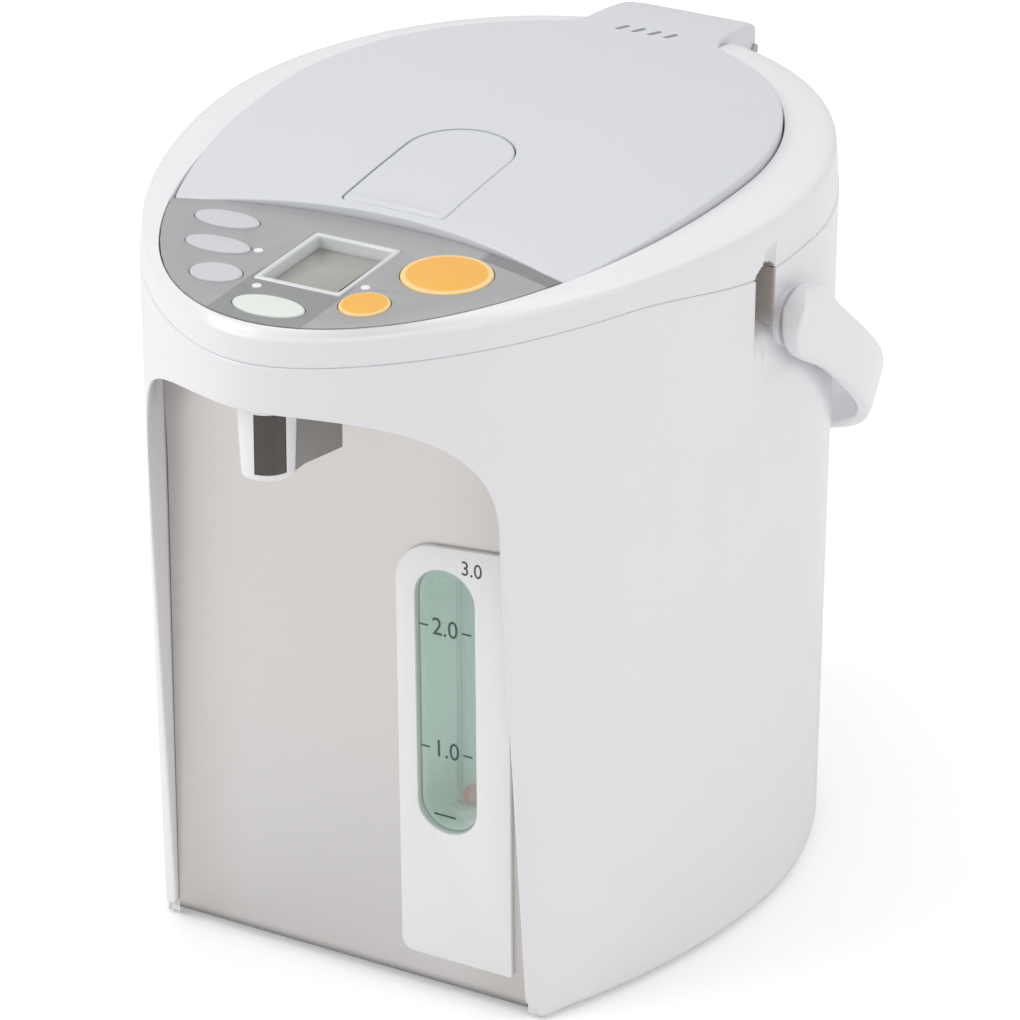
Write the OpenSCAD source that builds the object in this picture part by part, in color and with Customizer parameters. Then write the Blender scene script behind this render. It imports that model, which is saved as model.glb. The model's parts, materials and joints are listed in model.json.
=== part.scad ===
/* [Body] */
// Width of the body at its widest section
body_w = 215; // [208:1:222]
// From the widest section forward to the tip of the beak
beak_reach = 172.5; // [168:0.5:178]
// From the widest section back to the rear of the body
back_reach = 124.5; // [121:0.5:130]
// Roundness of the nose of the plan, where 2 is an ellipse
nose_power = 1.7; // [1.6:0.05:1.8]
// Wall of the moulded body
body_wall = 2.5; // [2:0.1:3]
// Height of the seam between the body and its shoulder ring
seam_h = 249.5; // [247:0.5:254]
// Height of the rubber feet below the body
foot_h = 1.5; // [1:0.1:3]

/* [Niche and front panel] */
// From the widest section forward to the foot of the front panel
panel_setback = 111.2; // [109:0.2:113]
// Lean of the front panel, top forward, in degrees
panel_lean = 1; // [0.6:0.1:1.6]
// Width of the niche at the spring of its arch
niche_w = 128; // [126:1:131]
// How much further out each side of the niche stands at its foot
niche_flare = 3.3; // [2.5:0.1:3.5]
// From the seam down to the spring of the niche's arch
arch_drop = 69.2; // [66:0.2:75]
// Rise of the arch above its spring
arch_rise = 53; // [50:0.2:54]
// Roundness of the arch, where 2 is an ellipse
arch_power = 2.6; // [2.4:0.05:2.8]
// Thickness of the steel panel
panel_t = 1; // [0.8:0.1:1.4]

/* [Rim and control panel] */
// Height of the rim above the seam
rim_rise = 11.5; // [11.5:0.1:13]
// Width of the rim at the sides
rim_side = 20.4; // [18:0.2:21.4]
// Width of the rim at the beak
rim_front = 5.6; // [5:0.2:7]
// Width of the rim at the rear
rim_rear = 16; // [15:0.5:18]
// How far the middle of the lid opening lies behind the widest section
opening_mid = 2.9; // [1:0.1:5]
// From the beak's tip back to the rear edge of the control panel
control_reach = 90; // [88.5:0.5:91.5]
// Radius of the rear edge of the control panel
brow_r = 188; // [180:1:200]
// Thickness of the deck below the lid
deck_t = 2; // [1.6:0.1:2.2]
// Thickness of the control panel
control_t = 1.5; // [1.2:0.1:1.8]
// Travel of the buttons
button_travel = 0.8; // [0.5:0.1:0.9]
// How far the buttons stand proud of the control panel
button_proud = 0.8; // [0.5:0.1:1.2]
// Play around each button
button_play = 0.3; // [0.2:0.05:0.4]

/* [Display] */
// Width of the display frame
display_w = 31; // [29:0.5:32]
// Length of the display frame
display_l = 39.5; // [37:0.5:40.5]
// Width of the display frame's border
display_border = 2.2; // [1.8:0.1:2.6]
// Place of the display's middle along the control panel, as a share of its length
display_share = 0.4; // [0.39:0.005:0.41]

/* [Water gauge] */
// From the side of the niche to the middle of the gauge window
gauge_setin = 25; // [24.5:0.5:26.5]
// Width of the gauge window
window_w = 22; // [20:0.5:23]
// Height of the window's lower end
window_low = 64; // [61:1:67]
// Height of the window's upper end
window_high = 162; // [158:1:164]
// Thickness of the gauge plate
gauge_t = 1.6; // [1.2:0.1:2]
// Width of the gauge plate
gauge_w = 41; // [39:0.5:42]
// Height of the gauge plate's upper edge
gauge_high = 170; // [168:1:172]
// Inside radius of the gauge tube
tube_bore_r = 4.2; // [4:0.1:4.6]
// Wall of the water tubes
tube_wall = 1.2; // [1:0.1:1.5]
// Radius of the float ball
float_r = 3.4; // [3:0.1:3.6]

/* [Spout] */
// From the beak's tip back to the middle of the spout
spout_setback = 15.5; // [14.5:0.5:17.5]
// Radius of the spout hood at its root
spout_top_r = 9.5; // [9:0.1:10]
// Radius of the spout hood at its mouth
spout_low_r = 8.5; // [8.1:0.1:8.9]
// How far the spout hood hangs below the beak
spout_drop = 26.5; // [24.5:0.5:28.5]
// Wall of the spout hood
spout_wall = 1.8; // [1.5:0.1:2.2]
// Width of the smoked window in the spout hood
spout_window_w = 10; // [9:0.5:11]
// Turn of that window to the right of straight ahead
spout_window_turn = 37; // [30:1:45]

/* [Container] */
// How much smaller than the body's mean half size the container's bore is
container_setin = 32; // [31:0.5:34]
// Sheet thickness of the water container
container_t = 0.8; // [0.6:0.1:1]
// Height of the container's floor
container_floor_h = 46; // [45:0.5:48]
// Thickness of the vacuum insulation panel
vacuum_t = 9; // [8:0.5:10]
// Gap between the insulation panel and the rear wall
rear_gap = 8; // [7:0.5:9]
// How far the deck reaches in over the container's wall
mouth_lip = 4; // [3:0.5:5]
// Height of the container's seal and of its flange
flange_t = 2; // [1.6:0.1:2.4]

/* [Lid] */
// Gap around the lid
lid_gap = 1; // [0.9:0.1:1.2]
// Rise of the lid's crown above the rim
crown_rise = 7.5; // [7:0.1:8.5]
// Radius of the lid's crown
crown_r = 850; // [800:10:950]
// Thickness of the lid cover
cover_t = 2.5; // [2:0.1:2.6]
// Depth of the lid's plug below the deck
plug_depth = 9.5; // [8:0.5:12]
// Width of the lid release flap
flap_w = 37; // [35:0.5:39]
// Length of the lid release flap
flap_l = 63; // [60:0.5:65]
// Press angle of the lid release flap
flap_press = 3.5; // [2.5:0.5:4]

/* [Hinge] */
// Half the width of the hinge block
hinge_half_w = 26; // [24:0.5:28]
// How far the hinge pin lies behind the body
hinge_overhang = 16; // [14:0.5:17]
// Height of the hinge pin below the rim
hinge_drop = 12.7; // [12:0.1:13.5]
// Radius of the hinge pin
hinge_pin_r = 2; // [1.6:0.1:2.4]
// Wall of the hinge block
hinge_wall = 2; // [1.6:0.1:2.4]

/* [Handle] */
// From the seam down to the handle's pivots
pivot_drop = 28.2; // [25.5:0.5:33.5]
// How far the pivots lie in front of the widest section
pivot_setback = 6; // [2:0.5:10]
// Reach of the handle from its pivots
handle_reach = 187; // [183:1:192]
// Width of the handle's band
handle_band = 21; // [19:0.5:24]
// Thickness of the handle's band
handle_t = 5.2; // [4.5:0.1:6]
// Gap between the body and the handle's arms
handle_gap = 3.7; // [3:0.1:4.5]
// Angle of the resting handle below level
handle_rest = 35.7; // [34:0.1:38]
// Radius of the discs at the ends of the handle
disc_r = 12.5; // [12:0.1:14]
// Radius of the pivot pins
pivot_pin_r = 6; // [5:0.1:7]
// Depth of the pockets around the pivots
pocket_depth = 5; // [4:0.1:6]
// Radius of the pockets around the pivots
pocket_r = 23; // [21:0.5:24]

/* [Pump and base] */
// Radius of the pump housing
pump_r = 20; // [18:0.5:22]
// Radius of the impeller
impeller_r = 14.5; // [13:0.5:15]
// Number of vanes on the impeller
vane_count = 6; // [5:1:8]
// Radius of the pump motor
motor_r = 14; // [12:0.5:15]
// Thickness of the bottom plate
plate_t = 2.5; // [2:0.1:3]
// Radius of the rubber feet
foot_r = 9; // [8:0.5:10]
// Width of the power inlet
inlet_w = 36; // [32:1:40]
// Height of the power inlet
inlet_high = 24; // [22:1:26]
// Depth of the power inlet's socket
socket_depth = 9; // [7:0.5:10]

/* [Hidden] */

// Overlap that keeps a cut clear of the faces it passes through
eps = 0.01;
// Play between a pin or shaft and its bore
pin_play = 0.05;
// Gap between parts that are set into each other
fit = 0.2;
// Gap between a moving part and what it passes
move_gap = 0.4;
// Corners of a full plan outline
plan_steps = 72;

rim_h = seam_h + rim_rise;
deck_h = seam_h + deck_t;
// How far the cuts of the shoulder ring start below the seam
ring_cut = 20;
half_w = body_w / 2;
brow_setback = beak_reach - control_reach;
// The resting handle is the rearmost thing, and the depth is centred between it and the beak
handle_back = handle_reach * cos(handle_rest) + handle_band / 2 * sin(handle_rest) - pivot_setback;
y_wide = (beak_reach - handle_back) / 2;
y_beak = y_wide - beak_reach;
y_back = y_wide + back_reach;
y_panel = y_wide - panel_setback;
y_spout = y_beak + spout_setback;
y_pivot = y_wide - pivot_setback;
y_brow = y_wide - brow_setback;
y_display = y_wide + control_y(display_share);
y_open = y_wide + opening_mid;
open_half_w = half_w - rim_side;
open_front = beak_reach - rim_front + opening_mid;
open_rear = back_reach - rim_rear - opening_mid;
arch_spring_h = seam_h - arch_drop;
arch_h = arch_spring_h + arch_rise;
pivot_h = seam_h - pivot_drop;
// The cheeks beside the panel run from just ahead of its foot to the outline at the spring of the arch
cheek_proud = 2.5;
cheek_reach = beak_reach * pow(1 - pow(niche_w / body_w, nose_power), 1 / nose_power);
cheek_slope = (cheek_reach - panel_setback - cheek_proud) / arch_spring_h;

container_r = (half_w + back_reach) / 2 - container_setin;
mouth_r = container_r - mouth_lip;
vacuum_r = container_r + container_t + vacuum_t;
y_container = y_back - body_wall - rear_gap - vacuum_r;
container_low = container_floor_h - container_t;
flange_h = seam_h - 2 * flange_t;
flange_w = 6;
// Space above and below the insulation panel
vacuum_end = 4;

y_hinge = y_back + hinge_overhang;
hinge_h = rim_h - hinge_drop;
hinge_eye_r = hinge_pin_r + 1.6;
// Outside radius of the block around the pin, and the floor of the notch that it lies in
hinge_turn_r = hinge_eye_r + 0.6 + hinge_wall;
notch_h = seam_h + 4;
y_notch = y_back - rim_rear - 7;
bracket_half_w = hinge_half_w - hinge_wall - 0.6;
bracket_foot_setin = 9;
bracket_foot_l = 11;
bracket_drop = 11;
crown_h = rim_h + crown_rise;
cover_low = rim_h - 3;
frame_low = deck_h + 0.6;
frame_inset = 1.2;
plug_r = mouth_r - 3;
gasket_r = mouth_r - 0.3;
gasket_t = 1.6;

control_h = rim_h + 0.2;
control_low = control_h - control_t;
board_t = 1.5;
board_low = deck_h + 1.2;
board_h = board_low + board_t;
switch_t = 1.9;
key_flange = 1.2;
key_low = board_h + switch_t + button_travel + 0.1;
display_glass_t = 3;
housing_inset = 1.5;
housing_wall = 1.2;

tube_r = tube_bore_r + tube_wall;
gauge_x = niche_w / 2 - gauge_setin;
tube_setin = 15;
y_tube = y_panel + tube_setin;
float_h = window_low + 6;
// The float rests on the mouth of the bore in the gauge's base
gauge_ledge_r = tube_bore_r - 1.2;
gauge_ledge_h = float_h - sqrt(pow(float_r, 2) - pow(gauge_ledge_r, 2)) - pin_play;
gauge_base_h = gauge_ledge_h + 4;
gauge_sump_h = 24;
gauge_base_r = tube_r + 2.5;
riser_low = gauge_high;
riser_rise = 8;
riser_collar_l = 20;
riser_collar_t = 3.5;
outlet_h = seam_h - tube_r - 0.8;
window_r = window_w / 2;
// How far the cut of the window reaches before and behind the panel
window_reach = 30;
// The gauge plate keeps clear of the cheek at its right
gauge_gap = 1.7;
gauge_right = niche_w / 2 - gauge_gap;
gauge_left = gauge_right - gauge_w;
gauge_low = 15;
// The plate's upper edge rises towards its right end
gauge_tilt = 2.4;
gauge_corner = 15;

spout_low = arch_h - spout_drop;
nozzle_r = 6;
bridge_w = 16;
// The fairing behind the hood reaches back from the middle of the spout, and keeps clear of the panel
bridge_l = 32.3;
bridge_play = 1;
bridge_low = spout_low - 4.2;

pump_x = 12;
// The pump stands below the container's floor, this far inside its wall
pump_setin = 20;
pump_setback = container_r - pump_setin;
y_pump = y_container - pump_setback;
plate_h = foot_h + plate_t;
motor_low = plate_h;
motor_l = 11;
motor_h = motor_low + motor_l;
magnet_gap = 0.8;
magnet_low = motor_h + magnet_gap;
magnet_t = 3.2;
pump_low = magnet_low + magnet_t + magnet_gap;
pump_wall = 1.6;
pump_l = 14;
pump_h = pump_low + pump_l;
pump_cover_t = 2;
impeller_low = pump_low + pump_wall + 1;
impeller_t = 2;
hub_r = 4.2;
hub_l = 7;
vane_t = 1.2;
vane_l = 6;
axle_r = 2;
shaft_r = 1.5;
hose_h = pump_low + pump_l / 2;
hose_bore_r = 3;
hose_barb_t = 1.2;
hose_barb_l = 6;
hose_t = 1.4;
hose_run = norm([gauge_x - pump_x, y_tube - y_pump]);
hose_turn = atan2(y_tube - y_pump, gauge_x - pump_x);
outlet_run = norm([gauge_x, y_spout - y_tube]);
outlet_turn = atan2(y_spout - y_tube, -gauge_x);
heater_setin = 28;
heater_r = container_r - heater_setin;
heater_hole_r = 22;
heater_t = 3;
thermistor_r = 5;
thermistor_l = 8;

disc_x = half_w + handle_gap;
pocket_x = half_w - pocket_depth;
pivot_boss_r = disc_r - 1;
y_flap = y_brow + 4.5;
flap_pivot_back = 51;
y_flap_pin = y_flap + flap_pivot_back;
// The pin lies below the crown of the lid above it
flap_pin_drop = 5.974;
flap_pin_h = crown_h - crown_r + sqrt(pow(crown_r, 2) - pow(y_flap_pin - y_open, 2)) - flap_pin_drop;
flap_pin_cut = 30;
frame_hole_r = 30;
flap_pin_r = 1.5;
latch_h = frame_low + 1.7;
latch_t = 3;
latch_w = 16;
latch_l = 26;
latch_knob_w = 6;
latch_knob_l = 5;
latch_knob_setin = 18;
screw_r = 1.5;
screw_bite = 8;
inlet_low = 16;
inlet_t = 12;
inlet_wall = 3;
inlet_pin_x = 8;
inlet_pin_r = 2;
inlet_pin_l = 10;
boss_r = 4;
// The power board stands on posts beside the pump
power_w = 62;
power_l = 84;
power_t = 1.6;
power_left = -72;
y_power = y_wide - 22;
post_r = 3;
post_l = 7;
post_setin = 4;
transformer_w = 26;
capacitor_r = 7;
relay_w = 18;
capacitor_setin = 16;
capacitor_spots = [10, 28];
foot_inset = 28;
// How far the front feet lie inside the sides of the niche
foot_gap = 5.9;
// How far they lie behind the panel
foot_setin = 24.5;
boss_l = 16;
vent_spots = [-9.3, -3.1, 3.1, 9.3];
vent_w = 2.2;
vent_l = 6.8;
vent_turn = -20;
lid_screw_spots = [for (a = [45 : 90 : 315]) (plug_r - 9) * [cos(a), sin(a)]];
// Distance from the widest section of a point at a share of the way from the brow to the beak's tip
function control_y(share) = -brow_setback - share * control_reach;
// Place of each button from the middle plane and the widest section, then its half width and half length
timer_key = [-45.4, control_y(0.229), 11.5, 6];
reboil_key = [-37.8, control_y(0.433), 11.5, 5.6];
select_key = [-27.2, control_y(0.642), 8.7, 6.8];
tea_key = [0, control_y(0.801), 12.2, 7];
lock_key = [25.2, control_y(0.637), 7.8, 9];
dispense_key = [36.8, control_y(0.29), 14.5, 15];
keys = [timer_key, reboil_key, select_key, tea_key, lock_key, dispense_key];
lens_spots = [[-24.2, control_y(0.412)], [-11, control_y(0.672)], [19.2, control_y(0.512)]];

white = "whitesmoke";
pale = "gainsboro";
steel = "silver";
dark = "dimgray";

// Plan of the body: a half ellipse behind the widest section and a rounder nose in front of it
function plan(w, front, rear) = [
    for (i = [0 : plan_steps - 1])
        let (a = 360 * i / plan_steps, s = sin(a), c = cos(a), p = s < 0 ? 2 / nose_power : 1)
        [sign(c) * w * pow(abs(c), p), (s < 0 ? -front : rear) * pow(abs(s), p)]
];
function body_plan(inset) = plan(half_w - inset, beak_reach - inset, back_reach - inset);
// Plan of the lid opening, from its own middle
function open_plan(inset) = [
    for (i = [0 : plan_steps - 1])
        let (a = 360 * i / plan_steps, s = sin(a))
        [(open_half_w - inset) * cos(a), (s < 0 ? open_front - inset : open_rear - inset) * s]
];
// Blend of the body's plan with the opening's plan, from 0 at the body to 1 at the opening
function rim_plan(share, inset) = [
    for (i = [0 : plan_steps - 1])
        let (outer = body_plan(inset)[i], inner = open_plan(-inset / 2 - 1.4)[i] + [0, opening_mid])
        outer * (1 - share) + inner * share
];
// Arch of the niche, seen from the front
function arch(inset) = let (w = niche_w / 2 - inset, h = arch_rise - inset) concat(
    [[-w - niche_flare, -1], [w + niche_flare, -1]],
    [for (i = [0 : 24])
        let (a = 180 * i / 24, c = cos(a), s = sin(a), p = 2 / arch_power)
        [sign(c) * w * pow(abs(c), p), arch_spring_h + h * pow(abs(s), p)]]
);
// Screw bosses stand against the inside of the wall, and the feet further in
boss_spots = [for (i = [0, 11, 25, 36, 43, 65]) body_plan(body_wall + boss_r - 1)[i]];
foot_spots = concat(
    [for (i = [8, 28]) body_plan(foot_inset)[i]],
    [for (side = [-1, 1]) [side * (niche_w / 2 - foot_gap), foot_setin - panel_setback]]
);
// Centre line of the flap's spring, with the direction away from the pin at each point
spring_wire_r = 0.4;
spring_r = flap_pin_r + 1;
spring_turn = 4 * 360 + 100;
spring_pitch = 1.2;
spring_leg = 9;
function spring_place(a, run) = let (y = cos(a), z = sin(a)) [
    spring_pitch * (a - spring_turn / 2) / 360,
    spring_r * y - run * z,
    spring_r * z + run * y,
    y, z
];
spring_line = concat(
    [spring_place(0, frame_low + 2 - flap_pin_h)],
    [for (a = [0 : 22 : spring_turn]) spring_place(a, 0)],
    [spring_place(spring_turn, spring_leg)]
);
function oval(rx, ry) = [for (i = [0 : 47]) [rx * cos(7.5 * i), ry * sin(7.5 * i)]];
// Half of the handle's plan, from its pivots to its crossbar
function bail(x, reach) = [
    for (i = [0 : 36])
        let (a = 5 * i, c = cos(a), p = 2 / 2.4)
        [sign(c) * x * pow(abs(c), p), reach * pow(abs(sin(a)), p)]
];

module at(x, y, z) translate([x, y, z]) children();
module rod(r, h) cylinder(r = r, h = h, $fn = 64);
module tube(r, bore, h) difference() {
    rod(r, h);
    at(0, 0, -1) rod(bore, h + 2);
}
// A bar along X from x0 to x1
module rod_x(r, x0, x1) translate([x0, 0, 0]) rotate([0, 90, 0]) rod(r, x1 - x0);
module prism(points, low, high) translate([0, 0, low]) linear_extrude(high - low) polygon(points);
// A prism seen from the side: points are places across Y and Z
module side_prism(points, x0, x1)
    translate([x0, 0, 0]) rotate([90, 0, 90]) linear_extrude(x1 - x0) polygon(points);
module body_prism(inset, low, high) translate([0, y_wide, 0]) prism(body_plan(inset), low, high);
module open_prism(inset, low, high) translate([0, y_open, 0]) prism(open_plan(inset), low, high);
module brow(gap, low, high) at(0, y_brow - brow_r, low) cylinder(r = brow_r + gap, h = high - low,
    $fn = 180);

// Everything in front of the leaning plane that lies depth behind the panel's face
module front_space(depth)
    translate([0, y_panel + depth, 0]) rotate([panel_lean, 0, 0])
        translate([-half_w, -2 * beak_reach, -seam_h]) cube([body_w, 2 * beak_reach, 3 * seam_h]);
module behind_space(depth)
    translate([0, y_panel + depth, 0]) rotate([panel_lean, 0, 0])
        translate([-half_w, 0, -seam_h]) cube([body_w, 2 * beak_reach, 3 * seam_h]);
// The niche, down to the leaning plane, with its arch drawn in by inset
module niche(inset, depth) difference() {
    at(0, y_wide, 0) rotate([90, 0, 0]) linear_extrude(beak_reach + 1) polygon(arch(inset));
    behind_space(depth);
}
// The wedge that trims the cheeks beside the panel
module cheek_wedge(depth) side_prism([
    [y_beak - 5, -1],
    [y_panel + depth - cheek_proud, -1],
    [y_panel + depth - cheek_proud, 0],
    [y_panel + depth - cheek_proud - cheek_slope * arch_spring_h, arch_spring_h],
    [y_beak - 5, arch_spring_h]
], -half_w, half_w);

module body_shell() color(white) difference() {
    union() {
        difference() {
            body_prism(0, foot_h, seam_h);
            difference() {
                body_prism(body_wall, foot_h - 1, seam_h + 1);
                niche(-body_wall, panel_t + body_wall);
                cheek_wedge(body_wall);
            }
        }
        for (side = [-1, 1]) intersection() {
            at(0, y_pivot, pivot_h) rod_x(pocket_r + 2, side > 0 ? pocket_x - 3 : -half_w,
                side > 0 ? half_w : 3 - pocket_x);
            body_prism(0, foot_h, seam_h);
        }
        for (s = boss_spots) at(s[0], y_wide + s[1], plate_h) rod(boss_r, boss_l);
    }
    niche(0, panel_t);
    cheek_wedge(0);
    for (side = [-1, 1]) at(0, y_pivot, pivot_h)
        rod_x(pocket_r, side > 0 ? pocket_x : -half_w - 1, side > 0 ? half_w + 1 : -pocket_x);
    for (s = boss_spots) at(s[0], y_wide + s[1], plate_h - 1) rod(screw_r + pin_play, boss_l - 2);
    at(0, y_spout, arch_h - 30) rod(nozzle_r + fit, 60);
    at(-inlet_w / 2 - fit, y_back - inlet_t, inlet_low) cube([inlet_w + 2 * fit, 2 * inlet_t, inlet_high]);
    window_cut(window_r - 1.5);
}
// The opening behind the gauge window, with round ends of radius r
module window_cut(r) for (z = [window_low + window_r, window_high - window_r])
    at(gauge_x, y_panel - window_reach, z) rotate([-90, 0, 0]) {
        rod(r, 2 * window_reach);
        if (z == window_low + window_r)
            translate([-r, -(window_high - window_low - window_w), 0])
                cube([2 * r, window_high - window_low - window_w, 2 * window_reach]);
    }

module shoulder_ring() color(white) {
    difference() {
        translate([0, y_wide, 0]) hull() for (s = [[0, 0], [0.12, 0.3], [0.4, 0.62], [0.75, 0.88], [1, 1]])
            prism(rim_plan(s[0], 0), seam_h + s[1] * rim_rise - (s[1] > 0 ? eps : 0),
                seam_h + s[1] * rim_rise + (s[1] > 0 ? 0 : eps));
        open_prism(0, deck_h, rim_h + 1);
        difference() {
            translate([0, y_wide, 0]) hull() for (s = [[0, -1], [0.2, 0.3], [0.75, 0.65]])
                prism(rim_plan(s[0], body_wall + 0.5), seam_h + s[1] * rim_rise,
                    seam_h + s[1] * rim_rise + eps);
            open_prism(-body_wall, seam_h - ring_cut, rim_h);
            hinge_box(3, y_notch, seam_h - ring_cut, rim_h);
        }
        at(0, y_container, seam_h - 1) rod(mouth_r, deck_t + 2);
        hinge_box(0.6, y_notch, notch_h, rim_h + 1);
        bracket_foot(0.5);
    }
}

module front_panel() color(steel) difference() {
    intersection() {
        niche(fit, panel_t);
        behind_space(0);
        at(-half_w, y_beak, foot_h + 0.5) cube([body_w, beak_reach, arch_h]);
    }
    window_cut(window_r - 1);
}
// A plate on the panel's face, t thick, standing off by gap
module on_panel(gap, t) intersection() {
    children();
    front_space(-gap);
    behind_space(-gap - t);
}
module gauge_plate() color(white) difference() {
    on_panel(0, gauge_t) at(0, y_panel, 0) rotate([90, 0, 0]) linear_extrude(beak_reach / 2) polygon(concat(
        [[gauge_left, gauge_low], [gauge_right, gauge_low], [gauge_right, gauge_high + gauge_tilt]],
        [for (a = [90 : 7.5 : 180])
            [gauge_left + gauge_corner + gauge_corner * cos(a),
                gauge_high - gauge_corner + gauge_corner * sin(a)]]
    ));
    window_cut(window_r);
}
module gauge_window() color("darkseagreen") intersection() {
    window_cut(window_r - pin_play);
    front_space(0);
    behind_space(-gauge_t + 0.4);
}
module gauge_tube() color("lightcyan")
    at(gauge_x, y_tube, gauge_ledge_h) tube(tube_r, tube_bore_r, riser_low - gauge_ledge_h);
module gauge_base() color(pale) difference() {
    at(gauge_x, y_tube, plate_h) rod(gauge_base_r, gauge_base_h - plate_h);
    at(gauge_x, y_tube, gauge_ledge_h) rod(tube_r + pin_play, 5);
    at(gauge_x, y_tube, gauge_sump_h) rod(gauge_ledge_r, gauge_base_h);
    at(gauge_x, y_tube, hose_h) rotate([0, 0, hose_turn + 180]) rotate([0, 90, 0]) rod(hose_bore_r,
        gauge_base_r + 2);
}
module float_ball() color("salmon")
    at(gauge_x, y_tube, float_h) sphere(r = float_r, $fn = 48);

module hood_cone(grow, low, high) at(0, y_spout, low)
    cylinder(r1 = spout_low_r + grow, r2 = spout_top_r + grow, h = high - low, $fn = 96);
module spout_hood() color(white) difference() {
    intersection() {
        hood_cone(0, spout_low, arch_h);
        niche(0, panel_t);
    }
    hood_cone(-spout_wall, spout_low - eps, arch_h - 3);
    at(0, y_spout, spout_low) rod(nozzle_r + fit, 2 * spout_drop);
    spout_window_box(0);
}
module spout_window_box(gap) at(0, y_spout, spout_low + 2 + gap) rotate([0, 0, spout_window_turn])
    translate([-spout_window_w / 2 + gap, -2 * spout_top_r, 0])
        cube([spout_window_w - 2 * gap, 2 * spout_top_r, spout_drop - 5.6 - 2 * gap]);
module spout_window() color("#45403b") difference() {
    intersection() {
        hood_cone(-0.3, spout_low, arch_h);
        spout_window_box(pin_play);
    }
    hood_cone(-spout_wall, spout_low, arch_h);
}
// A fairing that carries the hood back under the arch
module spout_bridge() color("gray") difference() {
    intersection() {
        side_prism([
            [y_spout, arch_h - 0.3],
            [y_spout, spout_low + 0.2],
            [y_spout + spout_low_r, spout_low + 0.2],
            [y_spout + bridge_l, bridge_low],
            [y_spout + bridge_l, arch_h - 0.3]
        ], -bridge_w / 2, bridge_w / 2);
        niche(0.3, -bridge_play);
    }
    hood_cone(0.05, spout_low, arch_h);
}
module spout_nozzle() color(pale)
    at(0, y_spout, spout_low + 3) tube(nozzle_r, tube_bore_r, outlet_h - 3 - tube_r - spout_low);

// The outline of the control panel, drawn in by inset
module control_block(inset, low, high) intersection() {
    open_prism(inset, low, high);
    brow(-inset, low, high);
}
module key_block(key, grow, low, high) translate([key[0], y_wide + key[1], 0])
    prism(oval(key[2] + grow, key[3] + grow), low, high);
module control_panel() color("darkgray") difference() {
    control_block(0.3, control_low, control_h);
    for (k = keys) key_block(k, button_play, control_low - 1, control_h + 1);
    display_block(0.1, control_low - 1, control_h + 1);
    for (s = lens_spots) at(s[0], y_wide + s[1], control_low - 1) rod(1.7, control_t + 2);
}
module display_block(grow, low, high)
    at(-display_w / 2 - grow, y_display - display_l / 2 - grow, low)
        cube([display_w + 2 * grow, display_l + 2 * grow, high - low]);
module display_frame() color(pale) difference() {
    display_block(0, board_h, control_h + 0.4);
    display_block(-display_border, board_h - 1, control_h + 1);
}
module display_glass() color("darkkhaki")
    display_block(-display_border - fit, board_h, board_h + display_glass_t);
module indicator_lenses() color("white") for (s = lens_spots)
    at(s[0], y_wide + s[1], board_h) rod(1.6, control_h + 0.3 - board_h);

module button(key) {
    key_block(key, 0, key_low, control_h + button_proud);
    key_block(key, 0.6, key_low, key_low + key_flange);
}
module timer_button() color("lightgray") button(timer_key);
module reboil_button() color("lightgray") button(reboil_key);
module select_button() color("lightgray") button(select_key);
module tea_button() color("honeydew") button(tea_key);
module lock_button() color("orange") button(lock_key);
module dispense_button() color("orange") button(dispense_key);

module control_housing() color(pale) difference() {
    control_block(housing_inset, deck_h, control_low);
    control_block(housing_inset + housing_wall, deck_h + 1.2, control_low + 1);
    at(-latch_w / 2 - 1, y_brow - 8, latch_h - 0.6) cube([latch_w + 2, 10, control_h]);
}
module control_board() color("seagreen") difference() {
    control_block(housing_inset + housing_wall + 0.3, board_low, board_h);
    at(-latch_w / 2 - 2, y_brow - 9, board_low - 1) cube([latch_w + 4, 12, board_t + 2]);
}
module key_switches() color("black") for (k = keys) at(k[0], y_wide + k[1], board_h) {
    translate([-3, -3, 0]) cube([6, 6, switch_t - 0.6]);
    rod(1.7, switch_t);
}

module inner_container() color(steel) at(0, y_container, 0) difference() {
    union() {
        at(0, 0, container_low) rod(container_r + container_t, flange_h + flange_t - container_low);
        at(0, 0, flange_h) rod(container_r + flange_w, flange_t);
    }
    at(0, 0, container_floor_h) rod(container_r, seam_h);
    at(pump_x, y_pump - y_container, container_low - 1) rod(tube_bore_r, 4);
}
module container_seal() color("lightgray")
    at(0, y_container, flange_h + flange_t) tube(container_r + flange_w, container_r - 1.5, flange_t);
module vacuum_panel() color("lightsteelblue")
    at(0, y_container, container_low + vacuum_end)
    tube(vacuum_r, vacuum_r - vacuum_t, flange_h - container_low - 2 * vacuum_end);
module heater() color("peru")
    at(0, y_container, container_low - heater_t) tube(heater_r, heater_hole_r, heater_t);
module thermistor() color("black") at(0, y_container, container_low - thermistor_l) {
    rod(thermistor_r, thermistor_l);
    at(0, 0, -thermistor_r / 2) rod(thermistor_r / 2, thermistor_r / 2);
}

module at_pump(z) translate([pump_x, y_pump, z]) children();
module pump_housing() color(pale) {
    difference() {
        at_pump(plate_h) rod(pump_r, pump_h - plate_h);
        at_pump(plate_h - 1) rod(pump_r - pump_wall - 1, pump_low - plate_h + 1);
        at_pump(pump_low + pump_wall) rod(pump_r - pump_wall - 1, pump_h);
        at_pump(hose_h) rotate([0, 0, hose_turn]) rotate([0, 90, 0]) rod(hose_bore_r, pump_r + 2);
    }
    difference() {
        at_pump(hose_h) rotate([0, 0, hose_turn]) rotate([0, 90, 0])
            tube(hose_bore_r + hose_barb_t, hose_bore_r, pump_r + hose_barb_l);
        at_pump(pump_low) rod(pump_r - 1, pump_h - pump_low);
    }
}
module pump_cover() color(pale) difference() {
    union() {
        at_pump(pump_h) rod(pump_r, pump_cover_t);
        at_pump(pump_h) rod(tube_r + 1, container_low - pump_h);
    }
    at_pump(pump_h - 1) rod(tube_bore_r, container_low);
}
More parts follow.
